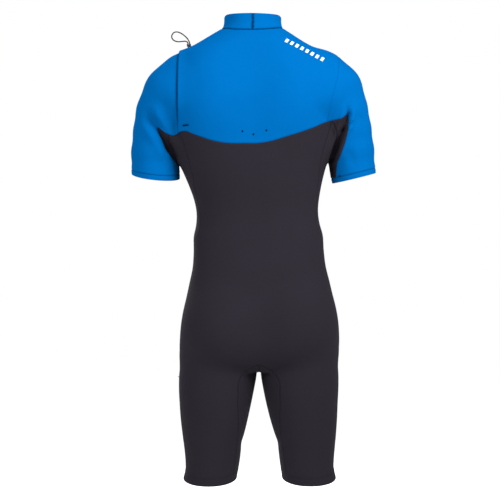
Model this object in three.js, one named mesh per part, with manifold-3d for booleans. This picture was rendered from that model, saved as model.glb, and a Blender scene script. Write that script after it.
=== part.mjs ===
// Short wetsuit (springsuit) with short sleeves, knee-length legs and a chest zip.
// The suit is a thin neoprene shell, cut into its panels along its seams, with a
// chest zip on the front and a neck drawcord with a small lock on the left shoulder.
// Millimetres. +Z up, +X to the wearer's left, -Y to the wearer's front.
// The origin lies on the middle plane, at the height of the collar's base.

import * as THREE from 'three';
import { mergeVertices } from 'three/addons/utils/BufferGeometryUtils.js';
import Module from 'manifold-3d';

const wasm = await Module();
wasm.setup();

// ---------------------------------------------------------------- driving sizes

const wall = 3;                    // neoprene thickness
const seamGap = 0.5;               // open line between two panels at a seam
const clearance = 0.3;             // gap between separate pieces

const shoulderLevel = -64;         // shoulder point, where the sleeve crown starts
const chestLevel = -200;
const waistLevel = -391;
const hipLevel = -690;
const crotchLevel = -735;
const legHemLevel = -966;

const neckHalfWidth = 66;          // at the collar's base
const neckBack = 58;
const neckFront = 66;
const collarTopLevel = 29;         // at the back and the sides
const collarFrontDrop = 40;        // the top edge is this much lower at the front
const collarForward = 8;           // how far the collar's top leans forward
const collarTaper = 3;             // the collar's top is this much narrower each side
const collarSeamAt = 3;            // the back and front seams lie this far off the middle

const shoulderHalfWidth = 172;
const chestHalfWidth = 177;
const chestBack = 116;
const chestFront = 116;
const waistHalfWidth = 131;
const waistBack = 92;
const waistFront = 103;
const hipHalfWidth = 172;
const hipBack = 122;
const hipFront = 98;

const thighHalfWidth = 83;
const thighBack = 108;
const thighFront = 86;
const thighCentre = 88.5;
const kneeHalfWidth = 59;
const kneeBack = 68;
const kneeFront = 62;
const kneeCentre = 103;
const legFlare = 2;                // the hem stands out a little

// Sleeve stations from hem to shoulder: the centre, the section's tilt in degrees,
// and its half width and half depth. The last one lies inside the torso.
const sleeveStations = [
  { x: 212, z: -315, tilt: 12, halfWidth: 50, depth: 57 },
  { x: 209, z: -262, tilt: 10, halfWidth: 51.5, depth: 58 },
  { x: 201, z: -219, tilt: 15, halfWidth: 56, depth: 61 },
  { x: 186, z: -178, tilt: 25, halfWidth: 64, depth: 67 },
  { x: 162, z: -140, tilt: 33, halfWidth: 74, depth: 73 },
  { x: 132, z: -115, tilt: 41, halfWidth: 77, depth: 74 },
  { x: 108, z: -98, tilt: 53, halfWidth: 70, depth: 56 },
];
const armholeAt = 158;             // distance of the armhole seam from the middle

const sleeveHemHeight = 12;
const legHemHeight = 15;

const yokeMiddle = -252;           // lowest point of the coloured yoke
const yokeAtArmhole = -222;
const drainHoleRadius = 1.1;
const drainHoles = [{ x: 23, z: -226 }, { x: 0, z: -232 }, { x: -26, z: -225 }];

const zipLevel = -140;
const zipHalfLength = 88;
const zipTapeHeight = 11;          // one side's visible tape
const zipTapeThickness = 1.2;
const zipTapeBeyond = 4;           // the tape runs on past the teeth
const zipWindowMargin = 1;         // from the tape's end to the end of the window
const zipStripHeight = 0.7;        // the strip that the teeth stand on
const zipStopLength = 3;
const zipToothPitch = 8;
const zipToothHeight = 2;
const zipToothDepth = 3;
const zipRowGap = 2.6;             // between the two rows, for the slider's post
const sliderHalfLength = 6.5;
const sliderHalfHeight = 7;
const sliderPlate = 1.4;
const pullLength = 30;
const pullHeight = 8;
const pullThickness = 1.2;
const pullNeckHalf = 2.64;         // half height of the pull between the slider's ears
const pullNeckLength = 4.5;
const pullShoulderLength = 7.5;    // from the pivot to where the pull is at its highest
const pullCorner = 2;
const pullHoleRadius = 1.6;
const pullHoleFromEnd = 5;
const pullBarrelRadius = 1.5;
const earHeight = 1.2;
const barrierThickness = 2;        // water barrier behind the zip
const barrierHalfHeight = 18;
const barrierBehind = 12;          // from the zip's arc back to the barrier

const cordDiameter = 2.6;
const cordPlaneY = -8;
const lockWidth = 9;
const lockDepth = 9;
const lockHeight = 5;
const lockCentre = { x: 142.6, z: -29.6 };
const strandSpacing = 3.4;         // between the two strands in the lock
const buttonRadius = 1.9;
const buttonTravel = 1.5;
const pocketWall = 0.8;            // between the button's pocket and the cord
const guideLength = 15;
const guideWidth = 8;
const guideThickness = 1.4;
const guideSunk = 10;              // how deep the patch reaches before the shoulder cuts it
const guideLevel = -40;
const guideTilt = 28;              // the shoulder's slope there, in degrees

const torsoSides = 24;
const limbSides = 16;
const reach = 400;                 // further than any part of the suit
const openEnd = 20;                // the inner form runs this far past each open end

const blue = 0x0279d0;
const charcoal = 0x33303a;
const black = 0x16161a;

// ---------------------------------------------------------------- solids

function toSolid(geometry) {
  const bare = geometry.clone();
  bare.deleteAttribute('normal');
  bare.deleteAttribute('uv');
  const merged = mergeVertices(bare, 1e-4);
  const mesh = new wasm.Mesh({
    numProp: 3,
    vertProperties: Float32Array.from(merged.attributes.position.array),
    triVerts: Uint32Array.from(merged.index.array),
  });
  return new wasm.Manifold(mesh);
}

function toGeometry(solid) {
  const mesh = solid.getMesh();
  const geometry = new THREE.BufferGeometry();
  geometry.setAttribute('position', new THREE.Float32BufferAttribute(mesh.vertProperties, 3));
  geometry.setIndex(Array.from(mesh.triVerts));
  geometry.computeVertexNormals();
  return geometry;
}

// A closed loft through rings of equally many points, lowest ring first.
function loft(rings) {
  const sides = rings[0].length;
  const points = rings.flat();
  const triangles = [];
  for (let r = 0; r + 1 < rings.length; r += 1) {
    for (let s = 0; s < sides; s += 1) {
      const a = r * sides + s;
      const b = r * sides + ((s + 1) % sides);
      triangles.push(a, b, b + sides, a, b + sides, a + sides);
    }
  }
  const middle = (ring) => ring
    .reduce((sum, p) => sum.add(p), new THREE.Vector3())
    .divideScalar(sides);
  const low = points.push(middle(rings[0])) - 1;
  const high = points.push(middle(rings[rings.length - 1])) - 1;
  const top = (rings.length - 1) * sides;
  for (let s = 0; s < sides; s += 1) {
    const next = (s + 1) % sides;
    triangles.push(low, next, s, high, top + s, top + next);
  }
  const geometry = new THREE.BufferGeometry().setFromPoints(points);
  geometry.setIndex(triangles);
  return toSolid(geometry);
}

// A rounded section with its own depth to the back (+Y) and to the front (-Y).
function sectionPoint(section, turn) {
  const power = 2 / section.squareness;
  const cos = Math.cos(turn);
  const sin = Math.sin(turn);
  const across = section.halfWidth * Math.sign(cos) * Math.abs(cos) ** power;
  const depth = sin > 0 ? section.back : section.front;
  return { across, along: depth * Math.sign(sin) * Math.abs(sin) ** power };
}

function turns(sides) {
  return Array.from({ length: sides }, (_, s) => (s / sides) * 2 * Math.PI);
}

function levelRing(section, sides) {
  return turns(sides).map((turn) => {
    const p = sectionPoint(section, turn);
    return new THREE.Vector3((section.x ?? 0) + p.across, p.along, section.z);
  });
}

function shrink(section, by) {
  return {
    ...section,
    halfWidth: section.halfWidth - by,
    back: section.back - by,
    front: section.front - by,
  };
}

// A prism that runs front to back, from an outline of [x, z] points.
function prism(outline, yFrom = -reach, yTo = reach) {
  const shape = new THREE.Shape(outline.map(([x, z]) => new THREE.Vector2(x, z)));
  const geometry = new THREE.ExtrudeGeometry(shape, { depth: yTo - yFrom, bevelEnabled: false });
  geometry.rotateX(Math.PI / 2);
  geometry.translate(0, yTo, 0);
  return toSolid(geometry);
}

// The narrow wall that opens a seam along a line of [x, z] points.
function seamWall(line, yFrom, yTo) {
  const sides = [1, -1].map((side) => line.map(([x, z], i) => {
    const before = line[Math.max(i - 1, 0)];
    const after = line[Math.min(i + 1, line.length - 1)];
    const run = new THREE.Vector2(after[0] - before[0], after[1] - before[1]).normalize();
    return [x - run.y * side * seamGap / 2, z + run.x * side * seamGap / 2];
  }));
  return prism([...sides[0], ...sides[1].reverse()], yFrom, yTo);
}

function mirrored(line) {
  return line.map(([x, z]) => [-x, z]);
}

function addAll(solids) {
  return solids.reduce((sum, solid) => sum.add(solid));
}

// A block bent round the zip's vertical axis: a sector of a ring.
function ringSector({ radius, thickness, from, to, low, high }, steps = 12) {
  const shape = new THREE.Shape();
  const outer = radius + thickness / 2;
  const inner = radius - thickness / 2;
  for (let i = 0; i <= steps; i += 1) {
    const a = from + ((to - from) * i) / steps;
    const p = [outer * Math.sin(a), -outer * Math.cos(a)];
    if (i === 0) shape.moveTo(...p);
    else shape.lineTo(...p);
  }
  for (let i = steps; i >= 0; i -= 1) {
    const a = from + ((to - from) * i) / steps;
    shape.lineTo(inner * Math.sin(a), -inner * Math.cos(a));
  }
  const geometry = new THREE.ExtrudeGeometry(shape, { depth: high - low, bevelEnabled: false });
  return geometry.translate(0, 0, low);
}

// ---------------------------------------------------------------- the suit's form

const between = (low, high, share) => low + (high - low) * share;

function torsoSections() {
  const section = (z, halfWidth, back, front, squareness = 2.4) => (
    { z, halfWidth, back, front, squareness });
  const waistToHip = (share) => between(waistLevel, hipLevel, share);
  return [
    section(crotchLevel, hipHalfWidth - 34, hipBack - 62, hipFront - 50, 2.1),
    section(crotchLevel + 12, hipHalfWidth - 6, hipBack - 24, hipFront - 16, 2.2),
    section(hipLevel, hipHalfWidth, hipBack, hipFront, 2.3),
    section(waistToHip(0.84), hipHalfWidth - 5, hipBack + 2, hipFront + 1, 2.3),
    section(waistToHip(0.64), hipHalfWidth - 13, hipBack - 6, hipFront + 4),
    section(waistToHip(0.42), waistHalfWidth + 13, waistBack + 10, waistFront + 1),
    section(waistToHip(0.2), waistHalfWidth + 7, waistBack + 3, waistFront + 1),
    section(waistLevel, waistHalfWidth, waistBack, waistFront),
    section(between(chestLevel, waistLevel, 0.62), waistHalfWidth + 16, waistBack + 10, chestFront - 7),
    section(between(chestLevel, waistLevel, 0.35), chestHalfWidth - 20, chestBack - 6, chestFront - 1),
    section(chestLevel, chestHalfWidth, chestBack, chestFront),
    section(between(shoulderLevel, chestLevel, 0.4), chestHalfWidth, chestBack - 4, chestFront - 12),
    section(shoulderLevel, shoulderHalfWidth, chestBack - 22, chestFront - 38),
    section(-46, shoulderHalfWidth - 18, neckBack + 28, neckFront, 2.2),
    section(-30, shoulderHalfWidth - 48, neckBack + 19, neckFront - 16, 2.1),
    section(-16, neckHalfWidth + 32, neckBack + 9, neckFront - 30, 2),
    section(-9, neckHalfWidth + 21, neckBack + 2, neckFront - 38, 2),
    section(-4, neckHalfWidth + 12, neckBack - 5, neckFront - 46, 2),
    section(3, neckHalfWidth, neckBack - 16, neckFront - 60, 2),
  ];
}

function torso(inset) {
  const sections = torsoSections();
  const lowest = sections[0].z;
  return loft(sections.map((s) => {
    const raise = s.z === lowest ? inset : 0;
    const drop = s.z > shoulderLevel ? inset : 0;
    return levelRing({ ...shrink(s, inset), z: s.z + raise - drop }, torsoSides);
  }));
}

// The collar's tube. Its top edge drops towards the front.
function collarTube(inset, extra = 0) {
  const ring = (low, share) => turns(torsoSides).map((turn) => {
    const taper = collarTaper * share + inset;
    const p = sectionPoint({
      halfWidth: neckHalfWidth - taper,
      back: neckBack - taper,
      front: neckFront - taper,
      squareness: 2,
    }, turn);
    const frontness = Math.max(-Math.sin(turn), 0) ** 1.4;
    const top = collarTopLevel + extra - collarFrontDrop * frontness;
    return new THREE.Vector3(p.across, p.along - collarForward * share, between(low, top, share));
  });
  const foot = -90 - extra;
  return loft([ring(foot, 0), ring(foot, 0.72), ring(foot, 0.9), ring(foot, 1)]);
}

// A point of a sleeve station: across from its inner to its outer edge, and depth.
function sleevePoint(station, across, depth) {
  const tilt = THREE.MathUtils.degToRad(station.tilt);
  return new THREE.Vector3(
    station.x + Math.cos(tilt) * across,
    depth,
    station.z + Math.sin(tilt) * across,
  );
}

function sleeve(inset, extra = 0) {
  const hem = sleeveStations[0];
  const tilt = THREE.MathUtils.degToRad(hem.tilt);
  const beyond = {
    ...hem,
    x: hem.x + Math.sin(tilt) * extra,
    z: hem.z - Math.cos(tilt) * extra,
  };
  const stations = extra > 0 ? [beyond, ...sleeveStations] : sleeveStations;
  return loft(stations.map((station) => turns(limbSides).map((turn) => {
    const p = sectionPoint({
      halfWidth: station.halfWidth - inset,
      back: station.depth - inset,
      front: station.depth - inset,
      squareness: 2.1,
    }, turn);
    return sleevePoint(station, p.across, p.along);
  })));
}

function leg(inset, extra = 0) {
  const section = (z, share, bulge = 0) => ({
    z,
    x: between(thighCentre, kneeCentre, share),
    halfWidth: between(thighHalfWidth, kneeHalfWidth, share) + bulge - inset,
    back: between(thighBack, kneeBack, share) + bulge - inset,
    front: between(thighFront, kneeFront, share) + bulge - inset,
    squareness: 2.1,
  });
  const down = (share) => between(crotchLevel, legHemLevel, share);
  return loft([
    section(legHemLevel - extra, 1, legFlare),
    section(down(0.93), 1),
    section(down(0.78), 0.92, -1),
    section(down(0.55), 0.66),
    section(down(0.3), 0.34, 1),
    section(down(0.08), 0.02),
    section(crotchLevel + 30, 0, -4),
    section(crotchLevel + 60, 0, -16),
  ].map((s) => levelRing(s, limbSides)));
}

// The same solid on the other side of the middle plane.
function opposite(solid) {
  const geometry = toGeometry(solid);
  geometry.scale(-1, 1, 1);
  const index = Array.from(geometry.index.array);
  for (let i = 0; i < index.length; i += 3) {
    [index[i], index[i + 1]] = [index[i + 1], index[i]];
  }
  geometry.setIndex(index);
  return toSolid(geometry);
}

function suitForm(inset, extra) {
  const arm = sleeve(inset, extra);
  const thigh = leg(inset, extra);
  return addAll([torso(inset), arm, opposite(arm), thigh, opposite(thigh)]);
}

// How far forward the chest lies at a level, at a distance from the middle plane.
function chestDepth(level, x) {
  const sections = torsoSections();
  const above = sections.findIndex((s) => s.z > level);
  const [low, high] = [sections[above - 1], sections[above]];
  const share = (level - low.z) / (high.z - low.z);
  const halfWidth = between(low.halfWidth, high.halfWidth, share);
  const front = between(low.front, high.front, share);
  const power = between(low.squareness, high.squareness, share);
  return front * (1 - (x / halfWidth) ** power) ** (1 / power);
}

// ---------------------------------------------------------------- seams

// The lower edge of the coloured yoke dips towards the middle.
const yokeSteps = 10;
const yokeEdge = Array.from({ length: yokeSteps + 1 }, (_, i) => {
  const x = between(-armholeAt, armholeAt, i / yokeSteps);
  return [x, yokeMiddle + (yokeAtArmhole - yokeMiddle) * (x / armholeAt) ** 2];
});

// The upper edge of a sleeve's hem band, at a distance from the middle plane.
function sleeveHemAt(x) {
  const hem = sleeveStations[0];
  const tilt = THREE.MathUtils.degToRad(hem.tilt);
  return hem.z + (x - hem.x) * Math.tan(tilt) + sleeveHemHeight / Math.cos(tilt);
}

const armholeInner = armholeAt + 0.5;    // the sleeve's lower cuts stay clear of the torso
const sleeveBelow = sleeveStations[0].z - 50;
const armholeLine = [
  [armholeAt, 60],
  [armholeAt, yokeAtArmhole - 40],
  [armholeInner, sleeveHemAt(armholeInner)],
  [armholeInner, sleeveBelow],
];
const sleeveHemLine = [
  [armholeInner, sleeveHemAt(armholeInner)],
  [reach, sleeveHemAt(reach)],
];

// The side panel narrows from the armhole to the waist.
const sidePanelEnd = waistLevel - 62;
const sidePanelLine = [
  [armholeAt, yokeAtArmhole - 2],
  [armholeAt - 7, yokeAtArmhole - 10],
  [armholeAt - 18, yokeAtArmhole - 46],
  [armholeAt - 27, yokeAtArmhole - 92],
  [waistHalfWidth - 3, between(yokeAtArmhole, waistLevel, 0.85)],
  [waistHalfWidth - 7, waistLevel - 30],
  [waistHalfWidth + 8, sidePanelEnd],
  [waistHalfWidth + 40, sidePanelEnd - 28],
];

// The dark underarm panel runs down the inner side of the sleeve.
const underarmCorner = [armholeAt + 38, yokeAtArmhole + 26];
const underarmFoot = armholeAt + 13;
const underarmLine = [
  [armholeAt, yokeAtArmhole + 12],
  underarmCorner,
  [armholeAt + 37, yokeAtArmhole + 6],
  [armholeAt + 32, yokeAtArmhole - 28],
  [armholeAt + 21, yokeAtArmhole - 56],
  [underarmFoot + 1, yokeAtArmhole - 76],
  [underarmFoot, sleeveHemAt(underarmFoot)],
];

// The inner thigh panel runs from the crotch down to the hem band.
const legHemTop = legHemLevel + legHemHeight;
const thighSplitAt = 60;
const innerThighLine = [
  [0, crotchLevel + 22],
  [22, crotchLevel + 12],
  [37, crotchLevel - 4],
  [44, crotchLevel - 45],
  [45, crotchLevel - 105],
  [51, between(crotchLevel, legHemTop, 0.72)],
  [thighSplitAt - 3, legHemTop],
];

// The edge of the chest opening runs level with the zip.
const chestSeam = [
  [-armholeAt, zipLevel + 26],
  [-zipHalfLength - 20, zipLevel + 2],
  [-zipHalfLength, zipLevel],
  [zipHalfLength, zipLevel],
  [zipHalfLength + 20, zipLevel + 2],
  [armholeAt, zipLevel + 26],
];

const legHemLine = [[0, legHemTop], [reach, legHemTop]];

function block(xFrom, xTo, zFrom, zTo, yFrom, yTo) {
  return prism([[xFrom, zFrom], [xTo, zFrom], [xTo, zTo], [xFrom, zTo]], yFrom, yTo);
}

function seamWalls() {
  const thin = seamGap / 2;
  const mirroredLines = [
    armholeLine, sidePanelLine, underarmLine, innerThighLine, sleeveHemLine, legHemLine,
  ];
  return [
    seamWall(yokeEdge),
    seamWall(chestSeam, -reach, 0),
    block(-armholeAt, armholeAt, shoulderLevel, 60, -thin, thin),
    block(thighSplitAt, reach, legHemTop, sidePanelEnd + 4, -thin, thin),
    block(-reach, -thighSplitAt, legHemTop, sidePanelEnd + 4, -thin, thin),
    block(-thin, thin, crotchLevel - 60, crotchLevel + 22),
    ...mirroredLines.map((line) => seamWall(line)),
    ...mirroredLines.map((line) => seamWall(mirrored(line))),
  ];
}

// ---------------------------------------------------------------- the chest zip's arc

// The zip lies on an arc about an upright axis, fitted to the chest at its level.
const windowHalfLength = zipHalfLength + zipTapeBeyond + zipWindowMargin;
const windowHalfHeight = zipRowGap / 2 + zipToothHeight + zipTapeHeight + 2 * clearance;
const zipFront = chestDepth(zipLevel, 0) - wall / 2;
const zipSag = chestDepth(zipLevel, 0) - chestDepth(zipLevel, windowHalfLength);
const zipRadius = (windowHalfLength ** 2 + zipSag ** 2) / (2 * zipSag);
const zipAxisY = zipRadius - zipFront;
const angleOf = (length) => length / zipRadius;

function onZipArc(sector, steps) {
  const geometry = ringSector({
    ...sector,
    radius: zipRadius + (sector.out ?? 0),
    low: zipLevel + sector.low,
    high: zipLevel + sector.high,
  }, steps);
  geometry.translate(0, zipAxisY, 0);
  return toSolid(geometry);
}

// ---------------------------------------------------------------- the shell

const outerForm = suitForm(0, 0);
const innerForm = suitForm(wall, openEnd);
const neckVoid = collarTube(wall, openEnd);

function drainHole({ x, z }) {
  const geometry = new THREE.CylinderGeometry(drainHoleRadius, drainHoleRadius, reach, 8);
  geometry.translate(x, reach / 2, z);
  return toSolid(geometry);
}

function zipWindow() {
  return block(
    -windowHalfLength,
    windowHalfLength,
    zipLevel - windowHalfHeight,
    zipLevel + windowHalfHeight,
    -reach,
    0,
  );
}

const cuts = [...seamWalls(), ...drainHoles.map(drainHole), zipWindow()];
let rest = outerForm.subtract(innerForm).subtract(neckVoid);
for (const cut of cuts) rest = rest.subtract(cut);

// Takes the part of the shell inside a region away as one panel.
function takePanel(region) {
  const panel = rest.intersect(region);
  rest = rest.subtract(region);
  return panel;
}

// ---------------------------------------------------------------- meshes

const suit = new THREE.Group();

function addMesh(name, geometry, colour, roughness, metalness = 0, parent = suit) {
  const material = new THREE.MeshStandardMaterial({ color: colour, roughness, metalness });
  const mesh = new THREE.Mesh(geometry, material);
  mesh.name = name;
  parent.add(mesh);
  return mesh;
}

const addFabric = (name, solid, colour) => addMesh(name, toGeometry(solid), colour, 0.9);

function addPanels() {
  const oneSide = {
    sleeve_hem: [
      ...sleeveHemLine,
      [reach, sleeveBelow],
      [armholeInner, sleeveBelow],
    ],
    leg_hem: [...legHemLine, [reach, legHemLevel - 20], [0, legHemLevel - 20]],
    underarm_panel: [
      ...underarmLine,
      [armholeInner, sleeveHemAt(armholeInner)],
      [armholeAt, yokeAtArmhole - 40],
    ],
    sleeve: [
      [armholeAt, 60],
      [reach, 60],
      [reach, sleeveHemAt(reach)],
      ...armholeLine.slice(1, 3).reverse(),
    ],
    side_panel: [...sidePanelLine, ...armholeLine.slice(1, 3).reverse()],
    inner_thigh_panel: [...innerThighLine, [0, legHemTop]],
  };
  const colours = {
    sleeve_hem: blue,
    leg_hem: charcoal,
    underarm_panel: charcoal,
    sleeve: blue,
    side_panel: charcoal,
    inner_thigh_panel: charcoal,
  };
  for (const [name, outline] of Object.entries(oneSide)) {
    addFabric(`${name}_left`, takePanel(prism(outline)), colours[name]);
    addFabric(`${name}_right`, takePanel(prism(mirrored(outline))), colours[name]);
  }
  const above = (line) => prism([...line, [reach, 60], [-reach, 60]], -reach, 0);
  addFabric('back_yoke', takePanel(prism([...yokeEdge, [reach, 60], [-reach, 60]], 0)), blue);
  addFabric('neck_flap', takePanel(above(chestSeam)), blue);
  addFabric('chest_panel', takePanel(above(yokeEdge)), blue);
  addFabric('back_body', takePanel(block(-reach, reach, -3 * reach, 60, 0, reach)), charcoal);
  addFabric('front_body', rest, charcoal);
}

// The collar stands on the shoulders, in two halves.
function addCollar() {
  const raised = outerForm.translate([0, 0, seamGap]);
  const tube = collarTube(0).subtract(neckVoid).subtract(raised);
  const split = collarSeamAt;
  const half = seamGap / 2;
  const left = tube.intersect(block(split + half, reach, -reach, reach));
  const right = tube.intersect(block(-reach, split - half, -reach, reach));
  addFabric('collar_left', left, blue);
  addFabric('collar_right', right, blue);
}

// ---------------------------------------------------------------- zip

const rowFoot = zipRowGap / 2;
const rowTop = rowFoot + zipToothHeight;

function zipRow(side) {
  const span = angleOf(zipHalfLength - sliderHalfLength / 2);
  const strip = onZipArc({
    thickness: zipTapeThickness,
    from: -span,
    to: span,
    low: side > 0 ? rowTop - zipStripHeight : -rowTop,
    high: side > 0 ? rowTop : zipStripHeight - rowTop,
  });
  const toothHalf = angleOf(zipToothPitch * 0.26);
  const pitch = angleOf(zipToothPitch);
  const count = Math.floor((2 * (span - toothHalf)) / pitch);
  const teeth = Array.from({ length: count + 1 }, (_, i) => {
    const middle = (i - count / 2) * pitch;
    return onZipArc({
      thickness: zipToothDepth,
      from: middle - toothHalf,
      to: middle + toothHalf,
      low: side > 0 ? rowFoot : -rowTop + 0.2,
      high: side > 0 ? rowTop - 0.2 : -rowFoot,
    }, 1);
  });
  return addAll([strip, ...teeth]);
}

function zipTape(side) {
  const span = angleOf(zipHalfLength + zipTapeBeyond);
  const near = rowTop + clearance;
  const far = near + zipTapeHeight;
  return onZipArc({
    thickness: zipTapeThickness,
    from: -span,
    to: span,
    low: side > 0 ? near : -far,
    high: side > 0 ? far : -near,
  });
}

function zipStop(side) {
  const inner = angleOf(zipHalfLength - sliderHalfLength / 2 + clearance);
  const outer = inner + angleOf(zipStopLength);
  return onZipArc({
    thickness: zipToothDepth,
    from: side > 0 ? inner : -outer,
    to: side > 0 ? outer : -inner,
    low: -rowTop,
    high: rowTop,
  }, 2);
}

// The barrier behind the zip keeps water off the chest.
function zipBarrier() {
  const span = angleOf(zipHalfLength);
  return onZipArc({
    out: -barrierBehind,
    thickness: barrierThickness,
    from: -span,
    to: span,
    low: -barrierHalfHeight,
    high: barrierHalfHeight,
  });
}

// The slider's two plates run inside and outside the teeth, joined by its post.
const plateOut = zipToothDepth / 2 + clearance + sliderPlate / 2;
const sliderAngle = angleOf(zipHalfLength - 1.5 * sliderHalfLength - 2 * clearance);
const pivotOut = plateOut + sliderPlate / 2 + pullBarrelRadius + clearance;
const earFrom = pullNeckHalf + clearance;

function zipSlider() {
  const at = (half) => ({ from: sliderAngle - angleOf(half), to: sliderAngle + angleOf(half) });
  const plate = (out) => onZipArc({
    out,
    thickness: sliderPlate,
    ...at(sliderHalfLength),
    low: -sliderHalfHeight,
    high: sliderHalfHeight,
  }, 4);
  const post = onZipArc({
    thickness: 2 * plateOut,
    ...at(sliderHalfLength * 0.4),
    low: clearance - rowFoot,
    high: rowFoot - clearance,
  }, 2);
  const ear = (low) => onZipArc({
    out: pivotOut - pullBarrelRadius / 2,
    thickness: 3 * pullBarrelRadius,
    ...at(2),
    low,
    high: low + earHeight,
  }, 2);
  return addAll([plate(plateOut), plate(-plateOut), post, ear(earFrom), ear(-earFrom - earHeight)]);
}

// The pull: a flat tab with a barrel between the slider's ears. Its own origin is the
// pivot, with X along the zip and -Y away from the chest.
function zipPull() {
  const wide = pullHeight / 2;
  const upper = [
    [0, pullNeckHalf],
    [-pullNeckLength, pullNeckHalf],
    [-pullShoulderLength, wide],
    [pullCorner - pullLength, wide],
    [-pullLength, wide - pullCorner],
  ];
  const lower = upper.map(([x, z]) => [x, -z]).reverse();
  const shape = new THREE.Shape([...upper, ...lower].map(([x, z]) => new THREE.Vector2(x, z)));
  const hole = new THREE.Path();
  hole.absarc(pullHoleFromEnd - pullLength, 0, pullHoleRadius, 0, 2 * Math.PI, true);
  shape.holes.push(hole);
  const plate = new THREE.ExtrudeGeometry(shape, {
    depth: pullThickness, bevelEnabled: false, curveSegments: 8,
  });
  plate.rotateX(Math.PI / 2);
  plate.translate(0, pullThickness / 2, 0);
  const barrel = new THREE.CylinderGeometry(pullBarrelRadius, pullBarrelRadius, 2 * pullNeckHalf, 16);
  barrel.rotateX(Math.PI / 2);
  return toGeometry(toSolid(plate).add(toSolid(barrel)));
}

function addZip() {
  addFabric('zip_tape_upper', zipTape(1), black);
  addFabric('zip_tape_lower', zipTape(-1), black);
  const plastic = (name, solid) => addMesh(name, toGeometry(solid), black, 0.45);
  plastic('zip_teeth_upper', zipRow(1));
  plastic('zip_teeth_lower', zipRow(-1));
  plastic('zip_stop_left', zipStop(1));
  plastic('zip_stop_right', zipStop(-1));
  addFabric('zip_barrier', zipBarrier(), charcoal);
  plastic('zip_slider', zipSlider());
  const pull = addMesh('zip_pull', zipPull(), black, 0.45);
  const out = zipRadius + pivotOut;
  pull.position.set(
    out * Math.sin(sliderAngle),
    zipAxisY - out * Math.cos(sliderAngle),
    zipLevel,
  );
  pull.rotation.z = sliderAngle;
}

// ---------------------------------------------------------------- neck drawcord

// The visible loop of the drawcord, from one strand in the guide to the other.
const cordRoute = [
  [140.9, -36.3], [140.9, -32.0], [141.0, -26.5], [142.6, -20.5], [146.4, -14.6],
  [152.0, -9.0], [158.5, -4.2], [165.0, -1.2], [171.0, -0.7], [176.0, -3.0],
  [179.0, -7.8], [179.2, -12.8], [176.3, -17.6], [171.0, -20.6], [164.5, -21.8],
  [157.0, -21.2], [150.8, -20.9], [146.2, -22.6], [144.4, -27.0], [144.3, -32.0],
  [144.3, -37.6],
];

function neckCord() {
  const points = cordRoute.map(([x, z]) => new THREE.Vector3(x, cordPlaneY, z));
  const path = new THREE.CatmullRomCurve3(points, false, 'centripetal');
  const section = new THREE.Shape();
  section.absarc(0, 0, cordDiameter / 2, 0, 2 * Math.PI);
  return new THREE.ExtrudeGeometry(section, {
    extrudePath: path, steps: 30, curveSegments: 4, bevelEnabled: false,
  });
}

// How far back the button's pocket reaches, short of the cord's slot.
const pocketEnd = cordPlaneY - cordDiameter / 2 - clearance - pocketWall;

function cordLock() {
  const body = new THREE.BoxGeometry(lockWidth, lockDepth, lockHeight);
  body.translate(lockCentre.x, cordPlaneY, lockCentre.z);
  const slot = new THREE.BoxGeometry(
    strandSpacing + cordDiameter + 2 * clearance,
    cordDiameter + 2 * clearance,
    2 * lockHeight,
  );
  slot.translate(lockCentre.x, cordPlaneY, lockCentre.z);
  const pocketRadius = buttonRadius + clearance;
  const pocket = new THREE.CylinderGeometry(pocketRadius, pocketRadius, lockDepth, 16);
  pocket.translate(lockCentre.x, pocketEnd - lockDepth / 2, lockCentre.z);
  return toSolid(body).subtract(toSolid(slot)).subtract(toSolid(pocket));
}

// The button stands out of the lock's front by its travel and a little more.
function cordLockButton() {
  const front = cordPlaneY - lockDepth / 2 - buttonTravel - clearance;
  const back = pocketEnd - buttonTravel - clearance / 2;
  const geometry = new THREE.CylinderGeometry(buttonRadius, buttonRadius, back - front, 16);
  geometry.translate(lockCentre.x, (front + back) / 2, lockCentre.z);
  return geometry;
}

// The guide is a small reinforcing patch on the shoulder, which the cord comes out of.
function cordGuide() {
  const height = guideThickness + guideSunk;
  const patch = new THREE.BoxGeometry(guideLength, guideWidth, height);
  patch.translate(0, 0, guideThickness - height / 2);
  patch.rotateY(THREE.MathUtils.degToRad(guideTilt));
  patch.translate(lockCentre.x, cordPlaneY, guideLevel);
  return toSolid(patch).subtract(outerForm.translate([0, 0, clearance]));
}

function addDrawcord() {
  addMesh('neck_cord', neckCord(), charcoal, 0.8);
  addMesh('cord_lock_body', toGeometry(cordLock()), black, 0.5);
  addMesh('cord_lock_button', cordLockButton(), black, 0.5);
  addMesh('cord_guide', toGeometry(cordGuide()), black, 0.7);
}

addPanels();
addCollar();
addZip();
addDrawcord();

export default suit;
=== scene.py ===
import math
import bmesh
import bpy
import numpy as np
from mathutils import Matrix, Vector
from mathutils.kdtree import KDTree


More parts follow.
